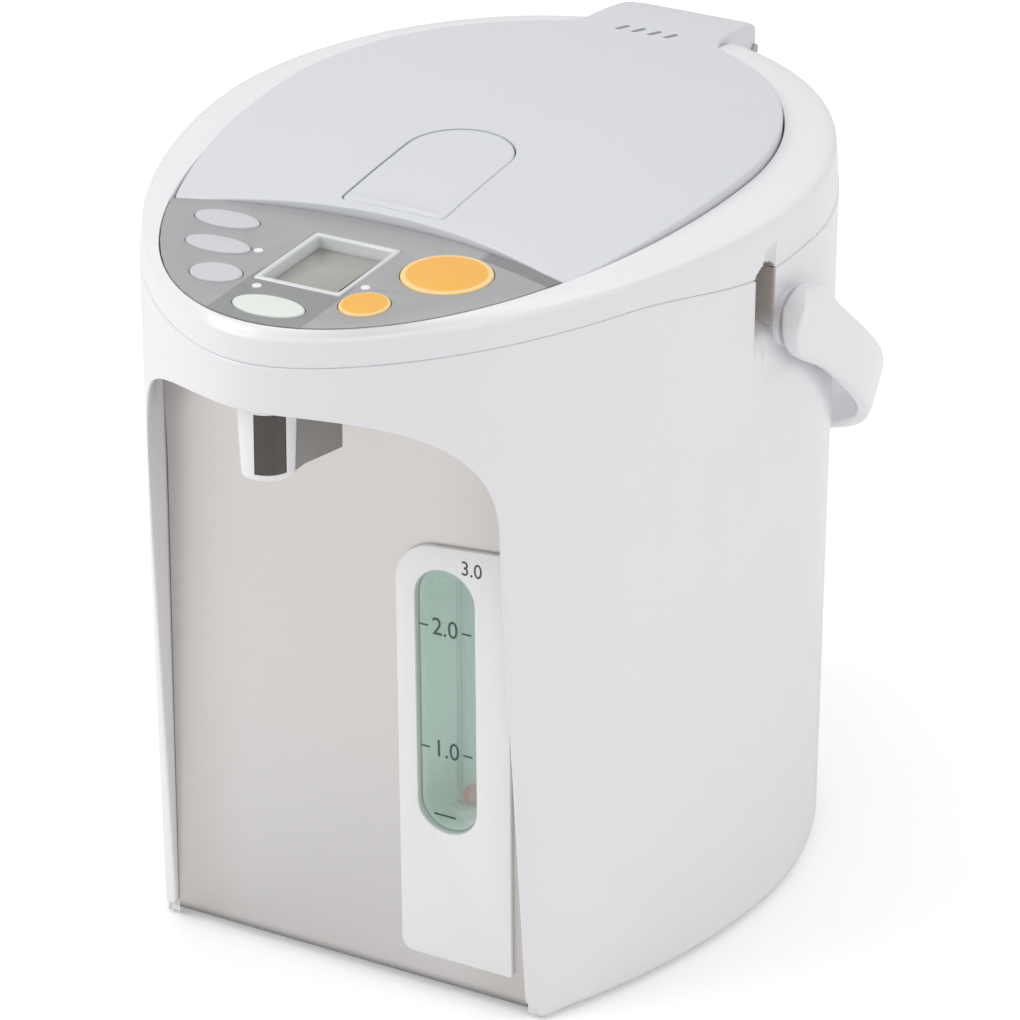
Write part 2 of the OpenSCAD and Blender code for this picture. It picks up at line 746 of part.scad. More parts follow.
module pump_axle() color(steel) at_pump(pump_low + pump_wall) rod(axle_r,
    pump_h - pump_low - pump_wall - 2);
module impeller() color("lightgray") at_pump(impeller_low) difference() {
    union() {
        rod(impeller_r, impeller_t);
        rod(hub_r, hub_l);
        for (i = [0 : vane_count - 1]) rotate([0, 0, 360 * i / vane_count])
            translate([hub_r - 1, -vane_t / 2, 0]) cube([impeller_r - hub_r, vane_t, vane_l]);
    }
    at(0, 0, -1) rod(axle_r + pin_play, hub_l + 2);
}
module drive_magnet() color(dark) at_pump(magnet_low) tube(impeller_r - 2, shaft_r, magnet_t);
module motor_shaft() color(steel) at_pump(motor_low + 1) rod(shaft_r,
    magnet_low + magnet_t - motor_low - 1);
module pump_motor() color(steel) difference() {
    at_pump(motor_low) rod(motor_r, motor_h - motor_low);
    at_pump(motor_low + 1 - pin_play) rod(shaft_r + pin_play, motor_h);
}
module pump_hose() color("white") at_pump(hose_h) rotate([0, 0, hose_turn]) rotate([0, 90, 0])
    difference() {
    at(0, 0, pump_r + 1)
        tube(hose_bore_r + hose_barb_t + hose_t, hose_bore_r + hose_barb_t + pin_play,
            hose_run - pump_r - 1);
    rotate([0, -90, 0]) at(hose_run, 0, -pump_r) rod(gauge_base_r + pin_play, 2 * pump_r);
}
module riser_pipe() color("white") difference() {
    union() {
        at(gauge_x, y_tube, riser_low) rod(tube_r, outlet_h + tube_r - riser_low);
        at(gauge_x, y_tube, riser_low + riser_rise) rod(tube_r + riser_collar_t, riser_collar_l);
    }
    at(gauge_x, y_tube, riser_low - 1) rod(tube_bore_r, outlet_h + tube_bore_r - riser_low);
    outlet_line(tube_bore_r, 0, outlet_run);
}
module outlet_line(r, start, end) at(gauge_x, y_tube, outlet_h) rotate([0, 0, outlet_turn]) rod_x(r,
    start, end);
module outlet_pipe() color("white") difference() {
    union() {
        outlet_line(tube_r, tube_r - 1, outlet_run);
        at(0, y_spout, outlet_h - tube_r) rod(tube_r, 2 * tube_r);
    }
    outlet_line(tube_bore_r, 0, outlet_run);
    at(0, y_spout, outlet_h - tube_r - 1) rod(tube_bore_r, tube_r + tube_bore_r);
    at(gauge_x, y_tube, riser_low) rod(tube_r + pin_play, seam_h);
}

module main_board() color("seagreen") at(power_left, y_power, plate_h + post_l) {
    cube([power_w, power_l, power_t]);
    at(8, power_l - transformer_w - 10, power_t) cube([transformer_w, transformer_w, transformer_w - 6]);
    for (y = capacitor_spots) at(power_w - capacitor_setin, y, power_t) rod(capacitor_r, 2.5 * capacitor_r);
    at(8, 8, power_t) cube([relay_w, 1.5 * relay_w, relay_w / 2]);
}
module board_posts() color(pale)
    for (x = [post_setin, power_w - post_setin], y = [post_setin, power_l - post_setin])
        at(power_left + x, y_power + y, plate_h) rod(post_r, post_l);
module bottom_plate() color(pale) difference() {
    intersection() {
        body_prism(body_wall + fit, foot_h, plate_h);
        behind_space(panel_t + body_wall + fit);
    }
    for (s = boss_spots) at(s[0], y_wide + s[1], foot_h - 1) {
        rod(screw_r + pin_play, plate_t + 2);
        rod(screw_r * 2 + pin_play, 2.2);
    }
    for (s = foot_spots) at(s[0], y_wide + s[1], foot_h - 1) rod(foot_r, 2);
}
module feet() color(dark) for (s = foot_spots) at(s[0], y_wide + s[1], 0) rod(foot_r - 0.5, foot_h + 1);
module base_screws() color(steel) for (s = boss_spots) at(s[0], y_wide + s[1], foot_h) {
    at(0, 0, 1.2 - 0.9) rod(screw_r * 2 - 0.2, 0.9);
    at(0, 0, 1) rod(screw_r, plate_t + screw_bite);
}
module power_inlet() color(dark) difference() {
    at(-inlet_w / 2, y_back - inlet_t, inlet_low) cube([inlet_w, inlet_t - 1, inlet_high]);
    at(-inlet_w / 2 + inlet_wall, y_back - 1 - socket_depth, inlet_low + inlet_wall)
        cube([inlet_w - 2 * inlet_wall, inlet_t, inlet_high - 2 * inlet_wall]);
    for (x = [-inlet_pin_x, inlet_pin_x]) at(x, y_back - 2 * inlet_t, inlet_low + inlet_high / 2)
        rotate([-90, 0, 0]) rod(inlet_pin_r, 3 * inlet_t);
}
module inlet_pins() color("gold") for (x = [-inlet_pin_x, inlet_pin_x])
    at(x, y_back - inlet_t - 4, inlet_low + inlet_high / 2) rotate([-90, 0, 0]) rod(inlet_pin_r,
        inlet_pin_l);

// Places its children at the pivots, along the resting handle
module handle_plane() at(0, y_pivot, pivot_h) rotate([-handle_rest, 0, 0]) children();
module handle() color(white) difference() {
    handle_plane() {
        difference() {
            at(0, 0, -handle_band / 2) linear_extrude(handle_band) polygon(bail(disc_x + handle_t,
                handle_reach));
            at(0, -1, -handle_band) linear_extrude(2 * handle_band)
                polygon(concat([[disc_x, 0]], bail(disc_x, handle_reach - handle_t + 1), [[-disc_x, 0]]));
        }
        for (side = [-1, 1]) rod_x(disc_r, side > 0 ? disc_x : -disc_x - handle_t,
            side > 0 ? disc_x + handle_t : -disc_x);
    }
    at(0, y_pivot, pivot_h) rod_x(pivot_pin_r + pin_play, -body_w, body_w);
}
module handle_pivots() color(white) for (side = [-1, 1]) at(0, y_pivot, pivot_h) {
    rod_x(pivot_boss_r, side > 0 ? pocket_x : -disc_x + move_gap, side > 0 ? disc_x - move_gap : -pocket_x);
    rod_x(pivot_pin_r, side > 0 ? pocket_x : -disc_x - handle_t + 1,
        side > 0 ? disc_x + handle_t - 1 : -pocket_x);
}

// The crown of the lid, lowered by drop
module crown(drop) at(0, y_open, crown_h - drop - crown_r) sphere(r = crown_r, $fn = 180);
// The hinge block seen from the side
module hinge_side() side_prism([
    [y_back - rim_rear - 8, cover_low],
    [y_back - rim_rear - 8, rim_h + 0.4],
    [y_back - 2, rim_h + 0.2],
    [y_hinge - 4, hinge_h + 10.6],
    [y_hinge + 2, hinge_h + 8.6],
    [y_hinge + hinge_turn_r, hinge_h + 3.6],
    [y_hinge + hinge_turn_r, hinge_h - 3],
    [y_back + 1.2, hinge_h - 3],
    [y_back + 1.2, notch_h + 0.5],
    [y_back - rim_rear - 1, notch_h + 0.5],
    [y_back - rim_rear - 1, cover_low]
], -hinge_half_w, hinge_half_w);
// The hollow of the hinge block, open below
module hinge_hollow() side_prism([
    [y_back - rim_rear + 2, hinge_h - 10],
    [y_back - rim_rear + 2, rim_h + 0.2 - hinge_wall],
    [y_back - 2, rim_h + 0.2 - hinge_wall],
    [y_hinge - 4.6, hinge_h + 10.6 - hinge_wall],
    [y_hinge + 1, hinge_h + 8.6 - hinge_wall],
    [y_hinge + hinge_turn_r - hinge_wall, hinge_h + 2.8],
    [y_hinge + hinge_turn_r - hinge_wall, hinge_h - 10]
], -hinge_half_w + hinge_wall, hinge_half_w - hinge_wall);
// A box as wide as the hinge block, from y0 to past the rear of the body
module hinge_box(gap, y0, low, high)
    at(-hinge_half_w - gap, y0, low) cube([2 * (hinge_half_w + gap), y_back + 3 - y0, high - low]);
module lid_plan(inset, low, high) difference() {
    open_prism(lid_gap + inset, low, high);
    brow(0.4 + inset, low - 1, high + 1);
}
module lid_cover() color(pale) difference() {
    union() {
        difference() {
            intersection() {
                lid_plan(0, cover_low, crown_h + 1);
                crown(0);
            }
            intersection() {
                lid_plan(cover_t, cover_low - 1, crown_h);
                crown(cover_t);
            }
        }
        difference() {
            hinge_side();
            hinge_hollow();
        }
    }
    flap_plan(move_gap, cover_low - 1, crown_h + 1);
    for (x = vent_spots) at(x, y_back - rim_rear - 4, rim_h - 8) rotate([0, 0, vent_turn])
        translate([-vent_w / 2, -vent_l / 2, 0]) cube([vent_w, vent_l, 2 * crown_rise]);
    at(0, y_hinge, hinge_h) rod_x(hinge_pin_r + pin_play, -body_w, body_w);
}
module flap_plan(grow, low, high) at(0, y_flap, low) {
    translate([-flap_w / 2 - grow, -grow, 0]) cube([flap_w + 2 * grow, flap_l - flap_w / 2 + grow,
        high - low]);
    translate([0, flap_l - flap_w / 2, 0]) rod(flap_w / 2 + grow, high - low);
}
module lid_frame() color(pale) difference() {
    union() {
        lid_plan(frame_inset, frame_low, frame_low + 1.6);
        difference() {
            lid_plan(frame_inset, frame_low, cover_low);
            lid_plan(frame_inset + 1.8, frame_low - 1, cover_low);
        }
        for (side = [-1, 1]) at(side * (flap_w / 2 + 3) - 1.5, y_flap_pin - 4, frame_low)
            cube([3, 8, flap_pin_h + 2.5 - frame_low]);
    }
    at(-latch_w / 2 - 0.3, y_brow - 5, latch_h - 0.3) cube([latch_w + 0.6, 12, latch_t + 0.6]);
    at(0, y_container, frame_low - 1) rod(frame_hole_r, 4);
    at(0, y_flap_pin, flap_pin_h) rod_x(flap_pin_r, -flap_pin_cut, flap_pin_cut);
    for (s = lid_screw_spots) at(s[0], y_container + s[1], frame_low - 1) rod(screw_r + pin_play, 4);
}
module inner_lid() color(steel) at(0, y_container, 0) difference() {
    at(0, 0, seam_h - plug_depth) rod(plug_r, frame_low - seam_h + plug_depth);
    at(0, 0, seam_h - plug_depth + 1) rod(plug_r - 1, plug_depth + frame_low);
    for (a = [0 : 45 : 315]) rotate([0, 0, a]) at(12, 0, seam_h - plug_depth - 1) rod(2.5, 4);
    for (s = lid_screw_spots) at(s[0], s[1], seam_h - plug_depth - 1) rod(screw_r + pin_play, 4);
}
module lid_gasket() color("lightgray")
    at(0, y_container, seam_h - 0.4) tube(gasket_r, plug_r, gasket_t);
module lid_screws() color(steel) for (s = lid_screw_spots) at(s[0], y_container + s[1], 0) {
    at(0, 0, seam_h - plug_depth - 1.2) rod(screw_r * 2, 1.2);
    at(0, 0, seam_h - plug_depth) rod(screw_r, frame_low + 3 - seam_h + plug_depth);
}
module release_flap() color(pale) difference() {
    union() {
        difference() {
            intersection() {
                flap_plan(0, rim_h, crown_h + 1);
                crown(0);
            }
            intersection() {
                flap_plan(-2, rim_h - 1, crown_h + 1);
                crown(2.4);
            }
        }
        for (side = [-1, 1]) at(side * (flap_w / 2 - 3) - 1.5, y_flap_pin - 4, flap_pin_h - 3) cube([3,
            8, 6]);
    }
    at(0, y_flap_pin, flap_pin_h) rod_x(flap_pin_r + pin_play, -flap_pin_cut, flap_pin_cut);
}
module flap_pin() color(steel) at(0, y_flap_pin, flap_pin_h)
    rod_x(flap_pin_r, -flap_w / 2 - 4.5, flap_w / 2 + 4.5);
// A torsion spring of round wire around the flap's pin: a leg down to the frame, the coils and a leg forward
module flap_spring() color(steel) at(0, y_flap_pin, flap_pin_h) polyhedron(
    points = [for (c = spring_line) for (b = [0 : 60 : 300])
        [c[0] + spring_wire_r * sin(b), c[1] + c[3] * spring_wire_r * cos(b),
            c[2] + c[4] * spring_wire_r * cos(b)]],
    faces = concat(
        [[for (i = [0 : 5]) i], [for (i = [5 : -1 : 0]) 6 * (len(spring_line) - 1) + i]],
        [for (k = [0 : len(spring_line) - 2]) for (i = [0 : 5])
            [6 * k + i, 6 * k + 6 + i, 6 * k + 6 + (i + 1) % 6]],
        [for (k = [0 : len(spring_line) - 2]) for (i = [0 : 5])
            [6 * k + i, 6 * k + 6 + (i + 1) % 6, 6 * k + (i + 1) % 6]]
    )
);
module latch_bolt() color(white) {
    side_prism([
        [y_brow + 0.2, latch_h],
        [y_brow + 0.2, latch_h + 1.2],
        [y_brow + 2, latch_h + latch_t],
        [y_brow + latch_l, latch_h + latch_t],
        [y_brow + latch_l, latch_h]
    ], -latch_w / 2, latch_w / 2);
    at(-latch_knob_w / 2, y_brow + latch_knob_setin, latch_h + latch_t) cube([latch_knob_w,
        latch_knob_l, 1.2]);
}

// The foot of the fixed bracket lies in a slot of the shoulder ring, below the notch
module bracket_foot(rise)
    at(-bracket_half_w, y_back - bracket_foot_setin, seam_h)
        cube([2 * bracket_half_w, bracket_foot_l, notch_h - 0.5 + rise - seam_h]);
module hinge_bracket() color(white) difference() {
    union() {
        bracket_foot(0);
        side_prism([
            [y_back + 0.2, seam_h - bracket_drop],
            [y_back + 3, seam_h - bracket_drop],
            [y_hinge - 5, hinge_h - hinge_eye_r],
            [y_hinge, hinge_h - hinge_eye_r],
            [y_hinge, hinge_h + hinge_eye_r],
            [y_back + 0.2, hinge_h + hinge_eye_r]
        ], -bracket_half_w, bracket_half_w);
        at(0, y_hinge, hinge_h) rod_x(hinge_eye_r, -bracket_half_w, bracket_half_w);
    }
    at(0, y_hinge, hinge_h) rod_x(hinge_pin_r, -body_w, body_w);
}
module hinge_pin() color(steel) at(0, y_hinge, hinge_h) rod_x(hinge_pin_r, -hinge_half_w + 0.6,
    hinge_half_w - 0.6);

body_shell();
shoulder_ring();
front_panel();
gauge_plate();
gauge_window();
gauge_tube();
gauge_base();
float_ball();
spout_hood();
spout_window();
spout_bridge();
spout_nozzle();
control_panel();
control_housing();
control_board();
key_switches();
display_frame();
display_glass();
indicator_lenses();
timer_button();
reboil_button();
select_button();
tea_button();
lock_button();
dispense_button();
inner_container();
container_seal();
vacuum_panel();
heater();
thermistor();
pump_housing();
pump_cover();
pump_axle();
impeller();
drive_magnet();
motor_shaft();
pump_motor();
pump_hose();
riser_pipe();
outlet_pipe();
main_board();
board_posts();
bottom_plate();
feet();
base_screws();
power_inlet();
inlet_pins();
handle();
handle_pivots();
lid_cover();
lid_frame();
inner_lid();
lid_gasket();
lid_screws();
release_flap();
flap_pin();
flap_spring();
latch_bolt();
hinge_bracket();
hinge_pin();
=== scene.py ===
import json
import math
from functools import partialmethod

import bmesh
import bpy
import numpy as np
from mathutils import Matrix, Vector


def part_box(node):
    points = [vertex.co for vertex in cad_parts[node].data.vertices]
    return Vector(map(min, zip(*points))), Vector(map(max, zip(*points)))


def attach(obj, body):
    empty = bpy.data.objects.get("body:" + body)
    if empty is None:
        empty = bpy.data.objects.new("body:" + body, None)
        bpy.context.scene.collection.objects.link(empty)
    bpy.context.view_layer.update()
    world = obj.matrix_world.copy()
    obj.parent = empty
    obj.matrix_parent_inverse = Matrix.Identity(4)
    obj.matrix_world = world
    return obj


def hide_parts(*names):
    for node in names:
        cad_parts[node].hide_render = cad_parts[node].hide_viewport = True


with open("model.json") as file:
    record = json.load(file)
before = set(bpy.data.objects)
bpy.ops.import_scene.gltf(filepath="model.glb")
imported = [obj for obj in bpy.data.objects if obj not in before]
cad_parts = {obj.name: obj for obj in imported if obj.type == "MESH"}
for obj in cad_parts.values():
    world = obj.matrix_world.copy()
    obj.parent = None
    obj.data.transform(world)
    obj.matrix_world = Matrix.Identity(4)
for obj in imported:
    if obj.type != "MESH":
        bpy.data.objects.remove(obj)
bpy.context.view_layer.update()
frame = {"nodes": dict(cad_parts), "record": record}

# Everything below is worked out in millimetres; MM turns it into Blender's metres.
MM = 0.001


def span(node):
    """Lowest and highest corner of a CAD part, in millimetres."""
    low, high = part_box(node)
    return low / MM, high / MM


# ---------------------------------------------------------------- camera

CAMERA_PLACE = Vector((663.3, -1246.15, 843.03))
CAMERA_AZIMUTH = math.radians(27.767)
CAMERA_ELEVATION = math.radians(26.887)
CAMERA_ROLL = math.radians(0.162)
CAMERA_LENS = 163.45


def make_camera():
    a, e, r = CAMERA_AZIMUTH, CAMERA_ELEVATION, CAMERA_ROLL
    back = Vector((math.sin(a) * math.cos(e), -math.cos(a) * math.cos(e), math.sin(e)))
    right = Vector((math.cos(a), math.sin(a), 0))
    up = back.cross(right)
    columns = (
        math.cos(r) * right + math.sin(r) * up,
        math.cos(r) * up - math.sin(r) * right,
        back,
    )
    camera = bpy.data.objects.new("camera", bpy.data.cameras.new("camera"))
    bpy.context.scene.collection.objects.link(camera)
    camera.data.lens = CAMERA_LENS
    camera.matrix_world = Matrix.Translation(CAMERA_PLACE * MM) @ Matrix(columns).transposed().to_4x4()
    bpy.context.scene.camera = camera


make_camera()

# ---------------------------------------------------------------- shader maths


class Value:
    """A number or colour in a material's nodes that takes part in Python sums."""

    def __init__(self, finish, socket):
        self.finish = finish
        self.socket = socket

    def maths(self, operation, *others):
        values = dict(enumerate((self,) + others))
        return self.finish.node("ShaderNodeMath", {"operation": operation}, values)

    __add__ = __radd__ = partialmethod(maths, "ADD")
    __mul__ = __rmul__ = partialmethod(maths, "MULTIPLY")
    __sub__ = partialmethod(maths, "SUBTRACT")
    __truediv__ = partialmethod(maths, "DIVIDE")
    __pow__ = partialmethod(maths, "POWER")
    __abs__ = partialmethod(maths, "ABSOLUTE")
    __lt__ = partialmethod(maths, "LESS_THAN")
    __gt__ = partialmethod(maths, "GREATER_THAN")

    def __rsub__(self, other):
        return (self * -1) + other

    def rise(self, start, end):
        """Smooth step from 0 at start to 1 at end."""
        return self.finish.node(
            "ShaderNodeMapRange",
            {"interpolation_type": "SMOOTHSTEP"},
            {"Value": self, "From Min": start, "From Max": end},
        )


class Finish:
    """A material whose changing sockets are fed by sums of Values."""

    def __init__(self, name, colour, roughness, **constants):
        self.material = bpy.data.materials.new(name)
        self.material.use_nodes = True
        self.tree = self.material.node_tree
        self.shader = self.tree.nodes["Principled BSDF"]
        self.colour = (*colour, 1)
        self.feed("Base Color", self.colour)
        self.feed("Roughness", roughness)
        for socket, value in constants.items():
            self.feed(socket.replace("_", " ").title().replace("Ior", "IOR"), value)

    def put(self, socket, value):
        if isinstance(value, Value):
            self.tree.links.new(value.socket, socket)
        elif getattr(socket, "type", "") == "RGBA" and len(value) == 3:
            socket.default_value = (*value, 1)
        else:
            socket.default_value = value

    def feed(self, name, value):
        self.put(self.shader.inputs[name], value)

    def node(self, kind, settings=None, values=None, output=0):
        """Adds one node: its settings first, then the values or links of its sockets."""
        made = self.tree.nodes.new(kind)
        for key, value in (settings or {}).items():
            setattr(made, key, value)
        for key, value in (values or {}).items():
            self.put(made.inputs[key], value)
        return Value(self, made.outputs[output])

    def place(self):
        """The point of the surface in millimetres, as x, y and z."""
        point = self.node("ShaderNodeTexCoord", output="Object")
        parts = [self.node("ShaderNodeSeparateXYZ", values={"Vector": point}, output=i) for i in range(3)]
        return [part / MM for part in parts]

    def noise(self, scale, detail=2, stretch=(1, 1, 1)):
        """Noise from 0 to 1, with scale patches to the millimetre, drawn out along an axis by stretch."""
        point = self.node("ShaderNodeTexCoord", output="Object")
        drawn = self.node(
            "ShaderNodeVectorMath",
            {"operation": "MULTIPLY"},
            {0: point, 1: tuple(scale / s / MM for s in stretch)},
        )
        return self.node("ShaderNodeTexNoise", values={"Vector": drawn, "Scale": 1.0, "Detail": detail})

    def blend(self, factor, first, second):
        """Colour mix: first where factor is 0 and second where it is 1."""
        return self.node(
            "ShaderNodeMix",
            {"data_type": "RGBA"},
            {"Factor": factor, 6: first, 7: second},
            output=2,
        )

    def bump(self, height, depth):
        """Raises the surface by height times depth, where depth is in millimetres."""
        normal = self.node(
            "ShaderNodeBump",
            values={"Height": height, "Distance": depth * MM, "Strength": 1.0},
            output="Normal",
        )
        self.feed("Normal", normal)


def linear(*shades):
    """A colour written in screen shades of 0 to 255."""
    return tuple(
        s / 255 / 12.92 if s / 255 <= 0.04045 else ((s / 255 + 0.055) / 1.055) ** 2.4 for s in shades
    )


def plastic(name, shades, roughness, grain=0.004, coat=0.0):
    """Moulded plastic with slow changes of colour and gloss and a fine grain."""
    made = Finish(name, linear(*shades), roughness, coat_weight=coat, coat_roughness=0.12)
    cloud = made.noise(0.03)
    colour = made.colour[:3]
    made.feed("Base Color", made.blend(cloud, colour, tuple(c * 0.98 for c in colour)))
    made.feed("Roughness", roughness + (cloud - 0.5) * 0.04)
    if grain:
        made.bump(made.noise(4.0, 3), grain)
    return made


def metal(name, shades, roughness, stretch=(1, 1, 1)):
    """Metal with fine lines drawn out along an axis by stretch."""
    made = Finish(name, linear(*shades), roughness, metallic=1.0)
    line = made.noise(1.0, 4, stretch)
    dull = tuple(c * 0.86 for c in made.colour[:3])
    made.feed("Base Color", made.blend(line, dull, made.colour[:3]))
    made.feed("Roughness", roughness - 0.06 + line * 0.12)
    made.bump(line, 0.004)
    return made


# ---------------------------------------------------------------- finishes

WHITE_SHADES = (238, 237, 240)
white = plastic("white_plastic", WHITE_SHADES, 0.26, coat=0.25)
lid_grey = plastic("lid_plastic", (216, 218, 222), 0.32, coat=0.1)
plate_white = plastic("plate_plastic", (240, 240, 239), 0.3)
inner_white = plastic("inner_plastic", (222, 222, 220), 0.5, grain=0.01)
button_grey = plastic("button_plastic", (206, 207, 210), 0.42)
button_pale = plastic("tea_button_plastic", (228, 234, 228), 0.4)
bridge_grey = plastic("bridge_plastic", (146, 143, 141), 0.38)
smoke = plastic("smoked_window", (62, 56, 51), 0.1, grain=0.0, coat=0.6)
smoke.feed("Alpha", 0.94)
black = plastic("black_plastic", (38, 38, 40), 0.5, grain=0.012)
rubber = plastic("foot_rubber", (52, 52, 54), 0.75, grain=0.02)
silicone = plastic("silicone", (224, 224, 220), 0.6)
frame_bright = plastic("display_frame_lacquer", (222, 224, 226), 0.22, coat=0.5)
display_grey = plastic("display_face", (163, 164, 155), 0.16, grain=0.0, coat=0.7)
lens_white = plastic("lens_plastic", (238, 240, 240), 0.3)
float_red = plastic("float_plastic", (244, 66, 64), 0.2, grain=0.0, coat=0.6)
board_green = plastic("board_lacquer", (52, 112, 80), 0.35)
print_dark = plastic("dark_print", (72, 72, 74), 0.5, grain=0.0)
print_green = plastic("gauge_print", (62, 82, 74), 0.5, grain=0.0)
fibre = plastic("panel_foil", (208, 212, 218), 0.3, grain=0.2)
steel_dull = metal("drawn_steel", (190, 189, 188), 0.38, (1, 1, 12))
brass = metal("brass_pins", (214, 184, 110), 0.3)
container_steel = metal("spun_steel", (200, 199, 198), 0.3, (8, 8, 1))
heater_metal = metal("heater_metal", (196, 180, 158), 0.4)
magnet_metal = metal("magnet_metal", (84, 84, 86), 0.5)


def window_finish(name, shades, opacity):
    """Clear tinted plastic."""
    made = Finish(name, linear(*shades), 0.08, coat_weight=0.5, coat_roughness=0.05)
    made.feed("Alpha", opacity)
    made.feed("Roughness", 0.07 + made.noise(0.05) * 0.04)
    return made


def orange_finish(name, key):
    """Orange key with a paler border, from its middle and half sizes."""
    made = Finish(name, linear(246, 186, 82), 0.4)
    x, y, _ = made.place()
    across = (x - key.x) / key.rx
    along = (y - key.y) / key.ry
    reach = (across * across + along * along) ** 0.5
    border = reach.rise(0.86, 0.9)
    soft = made.blend(made.noise(0.06), linear(247, 188, 84), linear(242, 178, 74))
    made.feed("Base Color", made.blend(border, soft, linear(248, 214, 152)))
    made.feed("Roughness", 0.36 + made.noise(0.2) * 0.1)
    made.bump(made.noise(5.0), 0.004)
    return made


window_green = window_finish("window_tint", (206, 230, 220), 0.2)
tube_clear = window_finish("tube_plastic", (226, 236, 232), 0.12)

# ---------------------------------------------------------------- building pieces


class Shape:
    """Points in millimetres and the faces between them."""

    def __init__(self):
        self.points = []
        self.faces = []

    def grid(self, rows, wrap_rows=False, wrap_columns=False):
        """Four-sided faces between equally long rows of points."""
        start, n, m = len(self.points), len(rows), len(rows[0])
        self.points += [tuple(map(float, point)) for row in rows for point in row]
        for i in range(n if wrap_rows else n - 1):
            for j in range(m if wrap_columns else m - 1):
                here, below = start + i * m, start + (i + 1) % n * m
                self.faces.append((here + j, here + (j + 1) % m, below + (j + 1) % m, below + j))
        return self

    def cap(self, row):
        """One face over a closed row of points."""
        start = len(self.points)
        self.points += [tuple(map(float, point)) for point in row]
        self.faces.append(tuple(range(start, start + len(row))))
        return self


def new_object(name, shape):
    mesh = bpy.data.meshes.new(name)
    mesh.from_pydata([[v * MM for v in point] for point in shape.points], [], shape.faces)
    made = bpy.data.objects.new(name, mesh)
    bpy.context.scene.collection.objects.link(made)
    weld(mesh)
    return made


def solid(name, rows):
    """A closed piece from rows of points around it, with a face over each end."""
    return new_object(name, Shape().grid(rows, wrap_columns=True).cap(rows[0]).cap(rows[-1]))


def circle(steps):
    return [2 * math.pi * i / steps for i in range(steps)]


def weld(mesh, flat=None):
    """Joins doubled points and turns the faces outwards; flat also joins faces that lie in one plane."""
    work = bmesh.new()
    work.from_mesh(mesh)
    bmesh.ops.remove_doubles(work, verts=work.verts, dist=0.004 * MM)
    bmesh.ops.dissolve_degenerate(work, edges=work.edges, dist=0.001 * MM)
    if flat:
        bmesh.ops.dissolve_limit(
            work, angle_limit=math.radians(flat), verts=work.verts, edges=work.edges
        )
    bmesh.ops.recalc_face_normals(work, faces=work.faces)
    work.to_mesh(mesh)
    work.free()


def face_along(made, direction):
    """Turns an open shell over where its faces look away from the direction."""
    if sum(face.normal.dot(Vector(direction)) * face.area for face in made.data.polygons) < 0:
        made.data.flip_normals()


def modify(made, kind, **settings):
    modifier = made.modifiers.new(kind.lower(), kind)
    for key, value in settings.items():
        setattr(modifier, key, value)


def bake(made):
    """Applies the modifiers."""
    graph = bpy.context.evaluated_depsgraph_get()
    graph.update()
    mesh = bpy.data.meshes.new_from_object(made.evaluated_get(graph))
    made.modifiers.clear()
    made.data = mesh


def round_edges(made, width, segments=2):
    modify(
        made,
        "BEVEL",
        width=width * MM,
        segments=segments,
        limit_method="ANGLE",
        angle_limit=math.radians(30),
        use_clamp_overlap=True,
        miter_outer="MITER_ARC",
    )


def cut(made, cutters):
    """Takes the cutters' shapes out of a piece."""
    for cutter in cutters:
        modify(made, "BOOLEAN", operation="DIFFERENCE", solver="EXACT", object=cutter)
        bake(made)
        bpy.data.objects.remove(cutter)


def dress(made, finish, body, stands_for=(), slot=None, angle=35):
    """Gives a piece its finish, its body, the CAD parts that it stands for and smooth shading."""
    bake(made)
    made.data.materials.clear()
    made.data.materials.append(finish.material)
    made.data.shade_smooth()
    made.data.set_sharp_from_angle(angle=math.radians(angle))
    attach(made, body)
    if stands_for:
        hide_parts(*stands_for)
    return made


def body_of(node):
    return next(name for name, nodes in frame["record"]["behaviour"]["bodies"].items() if node in nodes)


def slot_of(node):
    return next(s["material_slot"] for s in frame["record"]["subparts"] if s["node"] == node)


def rounded(node, finish, width, segments=2, cutters=()):
    """A detailed copy of a CAD part with rounded edges, which stands for that part."""
    mesh = frame["nodes"][node].data.copy()
    if "custom_normal" in mesh.attributes:
        mesh.attributes.remove(mesh.attributes["custom_normal"])
    weld(mesh, flat=0.4)
    made = bpy.data.objects.new(node + "_finished", mesh)
    bpy.context.scene.collection.objects.link(made)
    cut(made, cutters)
    round_edges(made, width, segments)
    return dress(made, finish, body_of(node), [node], slot_of(node))


def keep(node, finish):
    """A CAD part that stays as it is and gets a finish."""
    made = frame["nodes"][node]
    made.data.materials.clear()
    made.data.materials.append(finish.material)
    made.data.shade_smooth()
    made.data.set_sharp_from_angle(angle=math.radians(35))


def smooth_step(value, start, end):
    t = np.clip((value - start) / (end - start), 0, 1)
    return t * t * (3 - 2 * t)


def stretch_of(value, start, full, fade, end):
    """Rises from 0 at start to 1 at full, stays there up to fade and falls to 0 at end."""
    return smooth_step(value, start, full) * (1 - smooth_step(value, fade, end))


def curve(start, bend, end, steps):
    """Points of a rounded corner that leaves start towards bend and arrives at end."""
    for i in range(steps + 1):
        t = i / steps
        yield tuple(
            (1 - t) ** 2 * a + 2 * t * (1 - t) * b + t * t * c for a, b, c in zip(start, bend, end)
        )


def mirrored(half):
    """A symmetric path from its right half, which starts and ends on the middle plane."""
    return list(half) + [(-p[0], *p[1:]) for p in reversed(half[1:-1])]


# ---------------------------------------------------------------- body

